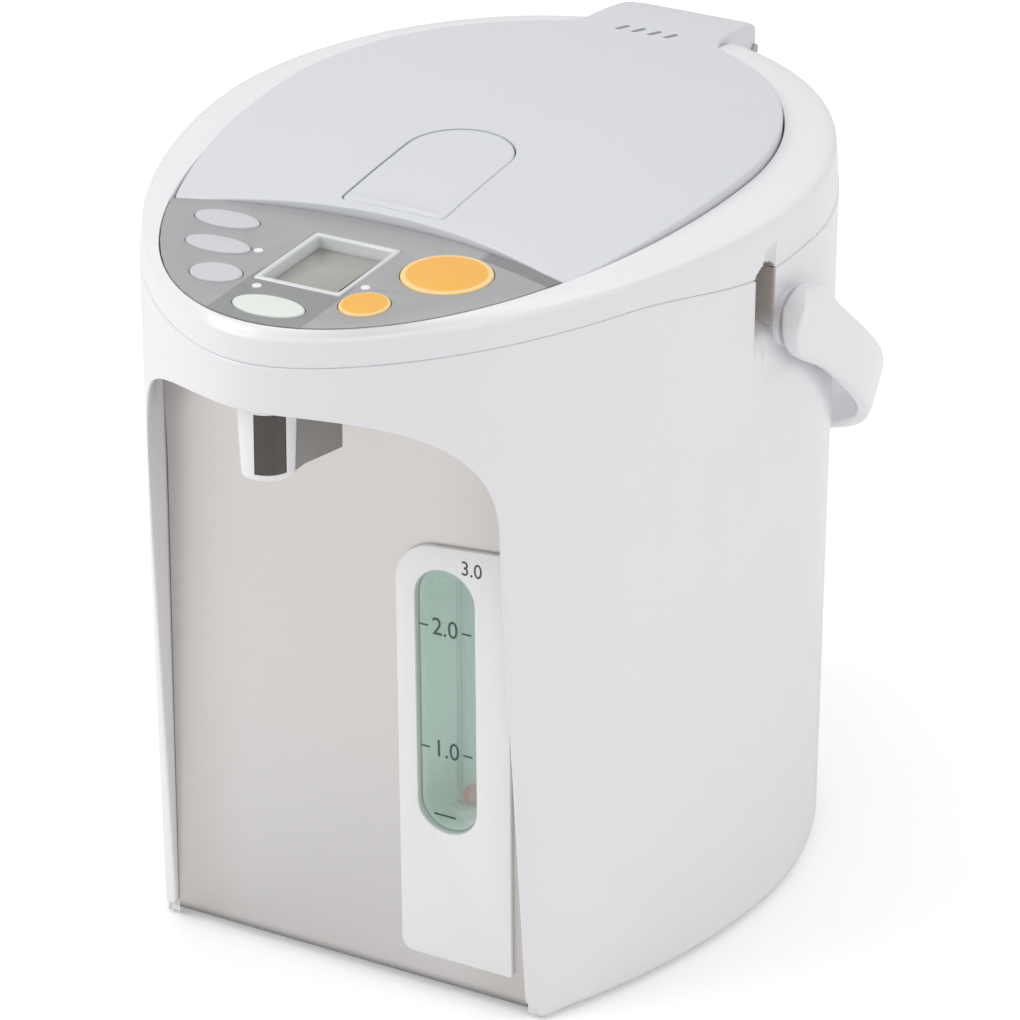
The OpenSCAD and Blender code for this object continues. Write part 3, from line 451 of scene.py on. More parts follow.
shell_low, shell_high = span("body_shell")
HALF_W = shell_high.x
Y_BEAK = shell_low.y
Y_BACK = shell_high.y
BASE_H = shell_low.z
SEAM_H = shell_high.z
RIM_H = span("shoulder_ring")[1].z
BACK_REACH = 124.5
Y_WIDE = Y_BACK - BACK_REACH
BEAK_REACH = Y_WIDE - Y_BEAK
NOSE_POWER = 1.7
NOSE_ROUND = 10.0
Y_PANEL = Y_WIDE - 111.2
PANEL_LEAN = math.tan(math.radians(1))
ARCH_SPRING = 180.3
ARCH_RISE = 53.0
ARCH_POWER = 2.6
NICHE_HALF_W = 64.0
NICHE_FOOT_HALF_W = 67.4
# Behind its edge the niche runs on straight to a squarer arch
INNER_HALF_W = 64.3
INNER_RISE = 54.5
INNER_POWER = 7.0
SEAM_GAP = 0.1
SEAM_DROP = 8.4
LIP = 3.0
CHEEK_SOFT = 7.0
CHEEK_PROUD = 2.5


def egg_half():
    """Right half of the body's plan, from the tip of the beak to the middle of the rear."""
    angle = np.linspace(-math.pi / 2, math.pi / 2, 4001)
    front = angle < 0
    power = np.where(front, 2 / NOSE_POWER, 1.0)
    reach = np.where(front, BEAK_REACH, BACK_REACH)
    x = HALF_W * np.abs(np.cos(angle)) ** power
    y = reach * np.sign(np.sin(angle)) * np.abs(np.sin(angle)) ** power
    tip = np.searchsorted(x[front], NOSE_ROUND)
    slope = (y[tip + 1] - y[tip]) / (x[tip + 1] - x[tip])
    y[:tip] = y[tip] - slope * NOSE_ROUND / 2 * (1 - (x[:tip] / NOSE_ROUND) ** 2)
    return x, Y_WIDE + y


egg_x, egg_y = egg_half()
egg_run = np.concatenate([[0], np.cumsum(np.hypot(np.diff(egg_x), np.diff(egg_y)))])
EGG_LENGTH = egg_run[-1]
egg_front = egg_y < Y_WIDE


def egg(run):
    """Point of the body's plan, run millimetres from the beak's tip and past the rear back on the left."""
    side = np.where(run > EGG_LENGTH, -1, 1)
    run = np.where(run > EGG_LENGTH, 2 * EGG_LENGTH - run, run)
    return side * np.interp(run, egg_run, egg_x), np.interp(run, egg_run, egg_y)


def run_at(x):
    """How far along the front of the plan the half width x lies."""
    return np.interp(x, egg_x[egg_front], egg_run[egg_front])


def run_beside(y):
    """How far along the plan the sides pass y."""
    return np.interp(y, egg_y, egg_run)


def panel_y(z):
    return Y_PANEL - PANEL_LEAN * z


Y_SPRING = float(np.interp(run_at(NICHE_HALF_W), egg_run, egg_y))


def cheek_y(z):
    """Front faces of the cheeks, which lean forward to the outline at the spring of the arch."""
    share = min(z / ARCH_SPRING, 1)
    leaning = Y_PANEL - CHEEK_PROUD + (Y_SPRING - Y_PANEL + CHEEK_PROUD) * share
    return leaning - 2.2 * max(z - ARCH_SPRING, 0) - 0.4


# The recess around a handle pivot: a deep groove along its front, then a ledge that runs out to the rear
pivot_low, pivot_high = span("handle_pivots")
Y_PIVOT = (pivot_low.y + pivot_high.y) / 2
PIVOT_H = (pivot_low.z + pivot_high.z) / 2
RECESS_FRONT = Y_PIVOT - 21.0
GROOVE_W = 12.5
GROOVE_DEPTH = 12.0
GROOVE_LOW = PIVOT_H + 2.0
SLOPE_LOW = PIVOT_H - 6.0
GROOVE_HIGH = SEAM_H + 2.6
LEDGE_DEPTH = 1.2
RECESS_REAR = Y_PIVOT + 34
RECESS_LOW = PIVOT_H - 17
RECESS_HIGH = RIM_H - 4.5


def recess(y, z):
    """Depth of the recess around a handle pivot."""
    middle = RECESS_FRONT + GROOVE_W / 2
    # The groove has a round upper end and runs out below into a slope
    over = np.clip((z - GROOVE_HIGH + 3) / 3, 0, 1)
    half = GROOVE_W / 2 * np.sqrt(1 - over**2)
    groove = 1 - smooth_step(np.abs(y - middle), half - 0.6, half + 0.6)
    groove = groove * (1 - smooth_step(z, GROOVE_HIGH - 0.8, GROOVE_HIGH + 0.4))
    depth = 2.6 + (GROOVE_DEPTH - 2.6) * smooth_step(z, GROOVE_LOW, GROOVE_LOW + 2.5)
    depth = depth * smooth_step(z, SLOPE_LOW, GROOVE_LOW)
    ledge = stretch_of(y, RECESS_FRONT + 2, RECESS_FRONT + 8, Y_PIVOT + 6, RECESS_REAR)
    level = stretch_of(z, RECESS_LOW - 5, RECESS_LOW + 3, RECESS_HIGH - 4, RECESS_HIGH)
    return np.maximum(depth * groove, LEDGE_DEPTH * ledge * level)


def shell_finish():
    """Glossy white of the body, with painted shade inside the grooves in front of the handle."""
    made = plastic("shell_plastic", WHITE_SHADES, 0.26, coat=0.25)
    x, y, z = made.place()
    # Painted shade: the colour is darkened inside the grooves, where shade falls deep in them.
    inside = (HALF_W - 1.5 + 0.144 * (y - RECESS_FRONT - GROOVE_W) - abs(x)).rise(0.2, 2.4)
    inside = inside * (y > RECESS_FRONT - 0.4) * (y < RECESS_FRONT + GROOVE_W + 0.8) * (z < SEAM_H + 1)
    inside = inside * z.rise(SLOPE_LOW, GROOVE_LOW + 4)
    shell = made.blend(made.noise(0.03), linear(*WHITE_SHADES), linear(235, 234, 237))
    made.feed("Base Color", made.blend(inside, shell, linear(176, 168, 163)))
    return made


shell_white = shell_finish()


def skin(run, z):
    """Points of the body's outside, from places along its plan and heights."""
    x, y = egg(run)
    front = cheek_y(z)
    soft_w = 0.4 + CHEEK_SOFT * (1 - min(z / ARCH_SPRING, 1))
    away = np.sqrt((y - front) ** 2 + soft_w**2)
    soft = (y + front + away) / 2
    share = 1 - smooth_step(y, Y_PANEL + 20, Y_PANEL + 60)
    y = y + (soft - y) * share
    x = x - np.sign(x) * recess(y, z)
    return np.stack([x, y, np.full_like(x, z)], axis=-1)


SIDE_RUN = run_at(88.0)
FILLET = 1.1
FILLET_STEPS = 4
foot_row = BASE_H + LIP
top_row = SEAM_H - SEAM_GAP / 2 - 0.8
CORNER = 30

FOOT_CORNER = 4.0
low_heights = np.concatenate(
    [foot_row + np.array([0, 0.3, 0.9, 1.8, 2.8]), np.linspace(foot_row + FOOT_CORNER, ARCH_SPRING, 28)]
)
arch_angles = np.radians(np.linspace(0, 90, 2 * CORNER + 1))


def squarish(angle, half_w, rise, power):
    """Across and up on a squarish arch, from 0 at its foot to a right angle at its crown."""
    across = half_w * math.cos(angle) ** (2 / power) if angle < math.pi / 2 - 1e-6 else 0.0
    return across, rise * math.sin(angle) ** (2 / power)


def arch_point(angle):
    """Half width and height of the arch's edge."""
    across, up = squarish(angle, NICHE_HALF_W, ARCH_RISE, ARCH_POWER)
    return across, ARCH_SPRING + up


def foot_half_width(z):
    return NICHE_FOOT_HALF_W + (NICHE_HALF_W - NICHE_FOOT_HALF_W) * z / ARCH_SPRING


def inner_point(angle, grow=0.0):
    """Half width and height of the niche's outline at the panel, which is squarer than its edge."""
    across, up = squarish(angle, INNER_HALF_W + grow, INNER_RISE + grow, INNER_POWER)
    return across, ARCH_SPRING + up


def across_arch(edge_run, edge_x, z, outer_run, outer_z, inner):
    """Points from the panel, round the edge of the niche and out over the body's face."""
    edge = skin(np.array([edge_run]), z)[0]
    edge[0] = edge_x
    inside = np.array([inner[0], panel_y(inner[1]) + 0.6, inner[1]])
    start = FILLET / max(math.hypot(outer_run - edge_run, outer_z - z), 1e-6)
    shares = start + (1 - start) * np.linspace(0, 1, 12) ** 1.3
    face = [skin(np.array([edge_run + (outer_run - edge_run) * t]), z + (outer_z - z) * t)[0] for t in shares]
    depth = min(FILLET, (inside[1] - edge[1]) * 0.9)
    fillet = []
    for i in range(FILLET_STEPS):
        turn = math.pi / 2 * (1 - i / FILLET_STEPS)
        point = edge + (face[0] - edge) * (1 - math.sin(turn))
        point[1] = point[1] + depth * (1 - math.cos(turn))
        fillet.append(point)
    lip = fillet[0] + np.array([0, min(1.4, depth), 0])
    wall = [inside + (lip - inside) * t for t in (0, 0.35, 0.7, 1)]
    return wall + fillet + face


def front_patch():
    """Rows of points across the edge of the niche, from its right foot over the crown."""
    rows = []
    for z in low_heights:
        half = foot_half_width(z)
        below = max(FOOT_CORNER - (z - foot_row), 0)
        edge = half + FOOT_CORNER - math.sqrt(FOOT_CORNER**2 - below**2)
        rows.append(across_arch(run_at(edge), edge, z, SIDE_RUN, z, (half + 0.3 * z / ARCH_SPRING, z)))
    for i, angle in enumerate(arch_angles[1:], 1):
        across, z = arch_point(angle)
        if i <= CORNER:
            outer = (SIDE_RUN, ARCH_SPRING + (top_row - ARCH_SPRING) * i / CORNER)
        else:
            outer = (SIDE_RUN * (2 * CORNER - i) / CORNER, top_row)
        rows.append(across_arch(run_at(across), across, z, *outer, inner_point(angle)))
    return rows


def spaced(start, end, step):
    return list(np.linspace(start, end, max(2, round((end - start) / step) + 1)))


def side_runs():
    """Places along the plan from the right cheek round the rear to the left, close at the pivots."""
    recess_start, recess_end = run_beside(RECESS_FRONT - 3), run_beside(RECESS_REAR + 3)
    dense = run_beside(RECESS_FRONT + GROOVE_W + 2)
    right = spaced(SIDE_RUN, recess_start, 4)[:-1] + spaced(recess_start, dense, 0.55)[:-1]
    right += spaced(dense, recess_end, 1.6)[:-1] + spaced(recess_end, EGG_LENGTH, 4)
    return np.array(right + [2 * EGG_LENGTH - r for r in reversed(right[:-1])])


def mirror_rows(rows):
    return [[(-p[0], p[1], p[2]) for p in row] for row in rows]


def inset_path(path, amount, closed=False):
    """A plan path moved in by one amount or by one for each point, with any height left alone."""
    points = np.array(path)
    ahead = np.roll(points, -1, axis=0) - np.roll(points, 1, axis=0)
    if not closed and np.hypot(*(points[0] - points[-1])[:2]) > 1:
        ahead[0] = points[1] - points[0]
        ahead[-1] = points[-1] - points[-2]
    length = np.hypot(ahead[:, 0], ahead[:, 1])
    length[length < 1e-9] = 1
    points[:, 0] -= ahead[:, 1] / length * amount
    points[:, 1] += ahead[:, 0] / length * amount
    return points


def at_height(path, z):
    points = np.array(path)
    points[:, 2] = z
    return points


def lower_seam(made):
    """Lets the seam between body and ring run down a little towards the handle's pivots."""
    points = np.array([v.co for v in made.data.vertices]) / MM
    x, y, z = points.T
    reach = np.where(y < Y_WIDE, BEAK_REACH, BACK_REACH)
    outside = smooth_step((x / HALF_W) ** 2 + ((y - Y_WIDE) / reach) ** 2, 0.74, 0.88)
    along = stretch_of(y, -75, -5, 60, 115)
    across = stretch_of(z, 205, SEAM_H, SEAM_H + 0.3, RIM_H - 1.5)
    points[:, 2] = z - SEAM_DROP * outside * along * across
    made.data.vertices.foreach_set("co", (points * MM).ravel())
    made.data.update()


def open_rear(made):
    """Opens the body's rear wall around the power inlet."""
    low, high = span("power_inlet")
    gap = Vector((0.2, 0.2, 0.2))
    low, high = low - gap, high + gap
    work = bmesh.new()
    work.from_mesh(made.data)

    def near_inlet(face):
        middle = face.calc_center_median()
        return middle.y > (Y_BACK - 15) * MM and middle.z < 60 * MM

    for corner in (low, high):
        for normal in ((1, 0, 0), (0, 0, 1)):
            near = [face for face in work.faces if near_inlet(face)]
            geometry = set(near) | {e for f in near for e in f.edges} | {v for f in near for v in f.verts}
            bmesh.ops.bisect_plane(work, geom=list(geometry), plane_co=corner * MM, plane_no=normal)
    inside = []
    for face in work.faces:
        x, y, z = face.calc_center_median() / MM
        if y > Y_BACK - 15 and low.x < x < high.x and low.z < z < high.z:
            inside.append(face)
    bmesh.ops.delete(work, geom=inside, context="FACES")
    work.to_mesh(made.data)
    work.free()


def make_body():
    front = front_patch()
    left = mirror_rows(front)
    runs = side_runs()
    heights = list(low_heights) + [front[len(low_heights) - 1 + i][-1][2] for i in range(1, CORNER + 1)]
    side = [skin(runs, z) for z in heights]
    shape = Shape()
    shape.grid(front + list(reversed(left[:-1])))
    shape.grid(side)
    # Bottom edge, rolled in from the niche's right foot round the rear to its left foot
    foot = list(front[0][:-1]) + list(side[0]) + list(reversed(left[0][:-1]))
    rolls = [math.pi / 2 * i / 4 for i in range(5)]
    corner = front[0][4]
    away = np.array([math.hypot(abs(p[0]) - corner[0], p[1] - corner[1]) for p in foot])
    share = 0.12 + 0.88 * smooth_step(away, 1.5, 16)
    share[: len(front[0]) - 12] = share[len(foot) - len(front[0]) + 12 :] = 0.12
    bottom = [
        at_height(inset_path(foot, LIP * share * (1 - math.cos(t))), foot_row - LIP * math.sin(t))
        for t in rolls
    ]
    bottom.append(at_height(inset_path(foot, (LIP + 2) * share), BASE_H))
    shape.grid(bottom)
    # Top edge, rounded in at the seam
    crown = [row[-1] for row in front[len(low_heights) + CORNER :]]
    top = list(side[-1]) + [(-p[0], p[1], p[2]) for p in crown[:-1]] + list(reversed(crown))
    rim = [at_height(inset_path(top, 0.8 * (1 - math.cos(t))), top_row + 0.8 * math.sin(t)) for t in rolls]
    rim.append(at_height(inset_path(top, 3.5), top_row + 0.8))
    shape.grid(rim, wrap_columns=True)
    made = new_object("body", shape)
    lower_seam(made)
    open_rear(made)
    return dress(made, shell_white, "pot", ["body_shell"], "body_white", angle=50)


make_body()

# ---------------------------------------------------------------- shoulder ring

OPEN_HALF_W = 87.1
Y_OPEN = Y_WIDE + 2.9
OPEN_FRONT = BEAK_REACH - 5.6 + 2.9
OPEN_REAR = BACK_REACH - 16 - 2.9
DECK_H = SEAM_H + 2
container_low, container_high = span("inner_container")
Y_CONTAINER = (container_low.y + container_high.y) / 2
MOUTH_R = 80.0
hinge_low, hinge_high = span("hinge_pin")
Y_HINGE = (hinge_low.y + hinge_high.y) / 2
HINGE_H = (hinge_low.z + hinge_high.z) / 2
HINGE_HALF_W = 26.0
NOTCH_H = SEAM_H + 4
# The ring's lower edge, as rises above the seam and how far in they lie
RING_EDGE = (
    (0.8, 0.38), (1.3, 0.41), (1.7, 0.44), (2.1, 0.47), (2.5, 0.5), (2.9, 0.53), (3.4, 0.58),
    (4.5, 0.7), (6.3, 0.95), (7.6, 1.2), (8.3, 1.5), (8.8, 1.95), (9.15, 2.6),
)


def open_point(angle, inset=0.0):
    """Point of the lid opening's plan, where angle is 0 at the right and a quarter turn at the rear."""
    reach = np.where(np.sin(angle) < 0, OPEN_FRONT, OPEN_REAR) - inset
    return (OPEN_HALF_W - inset) * np.cos(angle), Y_OPEN + reach * np.sin(angle)


def angle_on_egg(run):
    """The angle that places a run of the body's plan on the plans inside it."""
    x, y = egg(run)
    away = y - Y_WIDE
    power = np.where(away < 0, NOSE_POWER / 2, 1.0)
    reach = np.where(away < 0, BEAK_REACH, BACK_REACH)
    sine = np.sign(away) * np.clip(np.abs(away) / reach, 0, 1) ** power
    cosine = np.sign(x) * np.clip(np.abs(x) / HALF_W, 0, 1) ** power
    return np.arctan2(sine, cosine)


def box_cutter(low, high):
    (x0, y0, z0), (x1, y1, z1) = low, high
    plan = [(x0, y0), (x1, y0), (x1, y1), (x0, y1)]
    return solid("cutter", [[(x, y, z) for x, y in plan] for z in (z0, z1)])


def make_ring():
    half = spaced(0, SIDE_RUN, 3)[:-1] + list(side_runs()[: len(side_runs()) // 2 + 1])
    runs = np.array(half + [2 * EGG_LENGTH - r for r in reversed(half[1:-1])])
    outer = np.stack(egg(runs), axis=-1)
    angle = angle_on_egg(runs)
    inner = np.stack(open_point(angle), axis=-1)
    inward = (inner - outer) / np.linalg.norm(inner - outer, axis=1)[:, None]
    low = SEAM_H + SEAM_GAP / 2

    def row(plan, z):
        outside = np.linalg.norm(plan - outer, axis=1) < 8
        depth = recess(plan[:, 1], np.full(len(plan), z)) * outside
        x = plan[:, 0] - np.sign(plan[:, 0]) * depth * (np.abs(plan[:, 0]) > 60)
        return np.stack([x, plan[:, 1], np.full(len(plan), z)], axis=-1)

    rows = [row(outer + inward * 3.5, low), row(outer + inward * 0.6, low)]
    rows.append(row(outer + inward * 0.35, low + 0.3))
    rows += [row(outer + inward * setin, low + rise) for rise, setin in RING_EDGE]
    rise, setin = RING_EDGE[-1]
    start = outer + inward * setin
    for share in (0.12, 0.26, 0.42, 0.58, 0.74, 0.88, 0.95):
        z = low + rise + (RIM_H - low - 9.2) * (1 - (1 - share) ** 1.7)
        rows.append(row(start + (inner - start) * share, z))
    rows.append(row(inner - inward * 0.25, RIM_H - 0.02))
    rows.append(row(inner, RIM_H - 0.45))
    rows.append(row(inner, DECK_H))
    mouth = np.stack([MOUTH_R * np.cos(angle), Y_CONTAINER + MOUTH_R * np.sin(angle)], axis=-1)
    rows.append(row(mouth + (inner - mouth) * 0.04, DECK_H))
    rows.append(row(mouth, DECK_H - 0.5))
    rows.append(row(mouth, low))
    shape = Shape().grid(rows, wrap_rows=True, wrap_columns=True)
    made = new_object("shoulder", shape)
    notch = box_cutter(
        (-HINGE_HALF_W - 0.6, Y_BACK - 23, NOTCH_H),
        (HINGE_HALF_W + 0.6, Y_BACK + 5, RIM_H + 5),
    )
    cut(made, [notch])
    lower_seam(made)
    return dress(made, shell_white, "pot", ["shoulder_ring"], "body_white", angle=50)


make_ring()

# ---------------------------------------------------------------- steel panel

PANEL_FOOT = span("front_panel")[0].z
PANEL_ROLL = 4.5
BRUSHED_RISE = 60


def panel_steel_finish():
    """Steel sheet with fine level brushing, with painted light that makes it lighter low down, painted shade
    towards the arch, and darker along its foot.
    """
    made = Finish("brushed_steel", linear(221, 217, 214), 0.36, metallic=1.0, anisotropic=0.45)
    line = made.noise(2.2, 4, (60, 1, 0.35))
    x, _, z = made.place()
    # Painted light: the sheet is made lighter low down and darker higher up, as the light falls on it.
    light = made.blend(z.rise(40, 190), linear(224, 222, 221), linear(219, 215, 212))
    light = made.blend(line * 0.4, light, linear(204, 201, 198))
    # Painted shade: darker towards the arch's outline, where the beak above shades the sheet.
    high = (z - ARCH_SPRING).rise(0, BRUSHED_RISE) * BRUSHED_RISE
    reach = ((abs(x) / NICHE_HALF_W) ** 5 + (high / INNER_RISE) ** 5) ** 0.2
    light = made.blend(reach.rise(0.55, 1.0) * 0.5, light, linear(196, 191, 188))
    foot = 1 - z.rise(PANEL_FOOT + 1.5, PANEL_FOOT + 6)
    made.feed("Base Color", made.blend(foot * 0.75, light, linear(132, 130, 128)))
    made.feed("Roughness", 0.32 + line * 0.1)
    made.bump(line, 0.0025)
    return made


def make_panel():
    rows = []
    low = [PANEL_FOOT + PANEL_ROLL * (1 - math.cos(math.pi / 2 * i / 6)) for i in range(7)]
    levels = [(z, foot_half_width(z) - 0.25) for z in low + spaced(low[-1], ARCH_SPRING, 8)[1:]]
    levels += [inner_point(a, -0.15)[::-1] for a in np.radians(np.linspace(2, 89.5, 40))]
    for z, half in levels:
        drop = max(0, PANEL_FOOT + PANEL_ROLL - z)
        roll = PANEL_ROLL - math.sqrt(max(PANEL_ROLL**2 - drop**2, 0))
        rows.append([(half * t, panel_y(z) + roll, z) for t in np.linspace(-1, 1, 41)])
    made = new_object("steel_panel", Shape().grid(rows))
    face_along(made, (0, -1, 0))
    modify(made, "SOLIDIFY", thickness=0.8 * MM, offset=-1.0)
    window = capsule_cutter(WINDOW_R - 0.4)
    bake(made)
    cut(made, [window])
    return dress(made, panel_steel_finish(), "pot", ["front_panel"], "panel_steel", angle=50)


# ---------------------------------------------------------------- water gauge

gauge_low, gauge_high = span("gauge_plate")
window_low, window_high = span("gauge_window")
GAUGE_X = (window_low.x + window_high.x) / 2
WINDOW_R = (window_high.x - window_low.x) / 2
GAUGE_T = 1.6
GAUGE_CORNER = 15.0
GAUGE_TILT = 2.4
tube_low, tube_high = span("gauge_tube")
Y_TUBE = (tube_low.y + tube_high.y) / 2
FLOAT_LOW = span("float_ball")[0].z
MARK_X = GAUGE_X - 0.6
# Numerals on the window are narrowed a little
MARK_SCALE = (0.84, 0.96, 1, 1)


def capsule(radius, steps=24):
    """Plan of the gauge's window across X and Z, with round ends."""
    low, high = window_low.z + WINDOW_R, window_high.z - WINDOW_R
    points = []
    for mid, start in ((low, math.pi), (high, 0.0)):
        for i in range(steps + 1):
            turn = start + math.pi * i / steps
            points.append((GAUGE_X + radius * math.cos(turn), mid + radius * math.sin(turn)))
    return points


def capsule_cutter(radius):
    plan = capsule(radius)
    rows = [[(x, y, z) for x, z in plan] for y in (Y_PANEL - 30, Y_PANEL + 30)]
    return solid("cutter", rows)


def on_panel(x, z, out):
    """A point that stands out from the face of the panel."""
    return (x, panel_y(z) - out, z)


def gauge_outline():
    """The plate's edge: square at the right, with a round corner at its upper left."""
    left, right, low, high = gauge_low.x, gauge_high.x, gauge_low.z, gauge_high.z
    points = list(curve((left, low + 5), (left, low), (left + 5, low), 8))
    points += list(curve((right - 1, low), (right, low), (right, low + 1), 3))
    points += list(curve((right, high - 1), (right, high), (right - 1, high - 0.06), 3))
    top = high - GAUGE_TILT
    for i in range(13):
        turn = math.pi / 2 * (1 + i / 12)
        points.append((left + GAUGE_CORNER * (1 + math.cos(turn)), top - GAUGE_CORNER * (1 - math.sin(turn))))
    return points


def make_gauge():
    outline = gauge_outline()
    sides = [[on_panel(x, z, out) for x, z in outline] for out in (-0.1, GAUGE_T)]
    plate = solid("gauge_face", sides)
    cut(plate, [capsule_cutter(WINDOW_R)])
    round_edges(plate, 0.5, 3)
    dress(plate, plate_white, "pot", ["gauge_plate"], "body_white")
    # The window lies in the plate with a dished edge
    rows = []
    edge = ((0.02, 0.2), (0.02, 0.95), (0.5, 0.75), (1.3, 0.35), (3, 0.2), (6, 0.2))
    for inset, out in (*edge, (WINDOW_R - 0.4, 0.2)):
        rows.append([on_panel(x, z, out) for x, z in capsule(WINDOW_R - inset)])
    window = new_object("gauge_glass", Shape().grid(rows, wrap_columns=True).cap(rows[-1]).cap(rows[0]))
    dress(window, window_green, "pot", ["gauge_window"], "window_green", angle=50)
    # Trough behind the window, which is moulded in the body
    trough = []
    for inset, depth in ((0.6, 0.4), (0.8, 8), (2.5, 13), (5.5, 16.5), (WINDOW_R - 0.5, 17)):
        trough.append([on_panel(x, z, -depth - 0.6) for x, z in capsule(WINDOW_R - inset)])
    well = new_object("gauge_well", Shape().grid(trough, wrap_columns=True).cap(trough[-1]))
    dress(well, trough_finish(), "pot", slot="window_green", angle=60)


def trough_finish():
    """Pale green wall behind the gauge, with a painted highlight along a rib and darker at the foot."""
    made = Finish("gauge_trough", linear(182, 206, 194), 0.5)
    x, _, z = made.place()
    # Painted highlight: a white stripe stands for light caught along a rib, which is not modelled.
    rib_highlight = 1 - abs(x - (GAUGE_X + 4.2)).rise(1.6, 3.0)
    foot = 1 - z.rise(window_low.z, window_low.z + 26)
    tint = made.blend(rib_highlight * 0.9, linear(228, 247, 238), linear(255, 255, 255))
    made.feed("Base Color", made.blend(foot * 0.5, tint, linear(186, 200, 192)))
    made.feed("Roughness", 0.4 + made.noise(0.1) * 0.1)
    return made


make_panel()
make_gauge()


def numerals(name, words, size, place, finish):
    """Plain numerals as a thin mesh that stands on the panel."""
    letters = bpy.data.curves.new(name, "FONT")
    letters.body = words
    letters.size = size * MM
    letters.extrude = 0.04 * MM
    letters.align_x = "CENTER"
    letters.align_y = "CENTER"
    letters.resolution_u = 4
    source = bpy.data.objects.new(name, letters)
    bpy.context.scene.collection.objects.link(source)
    bpy.context.view_layer.update()
    graph = bpy.context.evaluated_depsgraph_get()
    mesh = bpy.data.meshes.new_from_object(source.evaluated_get(graph))
    bpy.data.objects.remove(source)
    tilt = Matrix.Rotation(math.pi / 2 + math.atan(PANEL_LEAN), 4, "X") @ Matrix.Diagonal(MARK_SCALE)
    mesh.transform(Matrix.Translation(Vector(place) * MM) @ tilt)
    made = bpy.data.objects.new(name, mesh)
    bpy.context.scene.collection.objects.link(made)
    dress(made, finish, "pot", slot="black_plastic")


def bar(name, x0, x1, z0, z1):
    """A thin printed bar on the gauge's window."""
    plan = [(x0, z0), (x1, z0), (x1, z1), (x0, z1)]
    made = solid(name, [[on_panel(x, z, 0.3 + out) for x, z in plan] for out in (-0.04, 0.04)])
    dress(made, print_green, "pot", slot="black_plastic")


def make_gauge_marks():
    for name, words, z in (("two", "2.0", 140.0), ("one", "1.0", 94.8)):
        numerals("gauge_" + name, words, 9.4, on_panel(MARK_X, z, 0.3), print_green)
        for side, sign in (("left", -1), ("right", 1)):
            x = MARK_X + sign * 7.9
            bar(f"gauge_tick_{name}_{side}", x - 1.7, x + 1.7, z - 0.3, z + 0.3)
    bar("gauge_minimum", GAUGE_X - 5.5, GAUGE_X + 2.5, 69.7, 70.4)
    numerals("gauge_three", "3.0", 7.6, on_panel(49.0, 164.4, GAUGE_T + 0.03), print_dark)


make_gauge_marks()
# The foot of the gauge is cut off below the float, so that the float can be seen
float_room = box_cutter((GAUGE_X - 20, Y_TUBE - 20, FLOAT_LOW + 1.2), (GAUGE_X + 20, Y_TUBE + 20, 90))
rounded("gauge_base", inner_white, 0.3, cutters=[float_room])

# ---------------------------------------------------------------- spout

rounded("spout_hood", white, 0.7, 3)
rounded("spout_window", smoke, 0.25)
rounded("spout_bridge", bridge_grey, 1.6, 4)
rounded("spout_nozzle", inner_white, 0.5)

# ---------------------------------------------------------------- control panel


class Key:
    """Middle and half sizes of an oval key, from its CAD part."""

    def __init__(self, node):
        low, high = span(node)
        self.node = node
        self.x, self.y = (low.x + high.x) / 2, (low.y + high.y) / 2
        self.rx, self.ry = (high.x - low.x) / 2 - 0.6, (high.y - low.y) / 2 - 0.6
        self.top = high.z


KEYS = {name: Key(name + "_button") for name in ("timer", "reboil", "select", "tea", "lock", "dispense")}
display_low, display_high = span("display_frame")
Y_BROW = Y_WIDE - 82.5
BROW_R = 188.0


def control_finish():
    """Silver lacquer with a darker band below the display and a dark strip at the right of its rear."""
    made = Finish("control_lacquer", linear(172, 173, 174), 0.4, metallic=0.25)
    x, y, _ = made.place()
    band = (x - (display_low.x - 1.5)).rise(0, 0.6) * (1 - (x - (display_high.x + 0.8)).rise(0, 0.6))
    band = band * (1 - (y - (display_low.y + 6)).rise(0, 4))
    away = ((x * x + (y - (Y_BROW - BROW_R)) * (y - (Y_BROW - BROW_R))) ** 0.5) - BROW_R
    strip = away.rise(-6.6, -6.2) * x.rise(38.5, 42.0)
    fine = made.noise(3.0, 3)
    base = made.blend(fine, linear(168, 169, 171), linear(178, 179, 180))
    base = made.blend(band * 0.8, base, linear(146, 147, 148))
    made.feed("Base Color", made.blend(strip * 0.85, base, linear(134, 135, 137)))
    made.feed("Roughness", 0.36 + fine * 0.08)
    made.bump(fine, 0.003)
    return made


rounded("control_panel", control_finish(), 0.25)
rounded("display_frame", frame_bright, 0.9, 4)
rounded("display_glass", display_grey, 0.2)
rounded("indicator_lenses", lens_white, 0.4, 3)


def make_button(name, finish):
    """An oval key with a softly crowned top and a rounded edge."""
    key = KEYS[name]
    low = span(key.node)[0].z
    edge = 0.7
    profile = [(0.6, low), (0.6, low + 1.2), (0, low + 1.2), (0, key.top - edge - 0.3)]
    for t in np.radians((20, 45, 70, 90)):
        profile.append((-edge * (1 - math.cos(t)), key.top - 0.3 - edge * (1 - math.sin(t))))
    ovals = [(key.rx + grow, key.ry + grow, z) for grow, z in profile]
    for share in (0.85, 0.65, 0.4, 0.15):
        z = key.top - 0.3 + 0.3 * (1 - share**2)
        ovals.append(((key.rx - edge) * share, (key.ry - edge) * share, z))
    rows = [
        [(key.x + rx * math.cos(t), key.y + ry * math.sin(t), z) for t in circle(64)]
        for rx, ry, z in ovals
    ]
    made = solid(name + "_key_cap", rows)
    return dress(made, finish, name + "_key", [key.node], slot_of(key.node), angle=60)


for name in ("timer", "reboil", "select"):
    make_button(name, button_grey)
make_button("tea", button_pale)
for name in ("lock", "dispense"):
    make_button(name, orange_finish(name + "_key_plastic", KEYS[name]))

# ---------------------------------------------------------------- lid

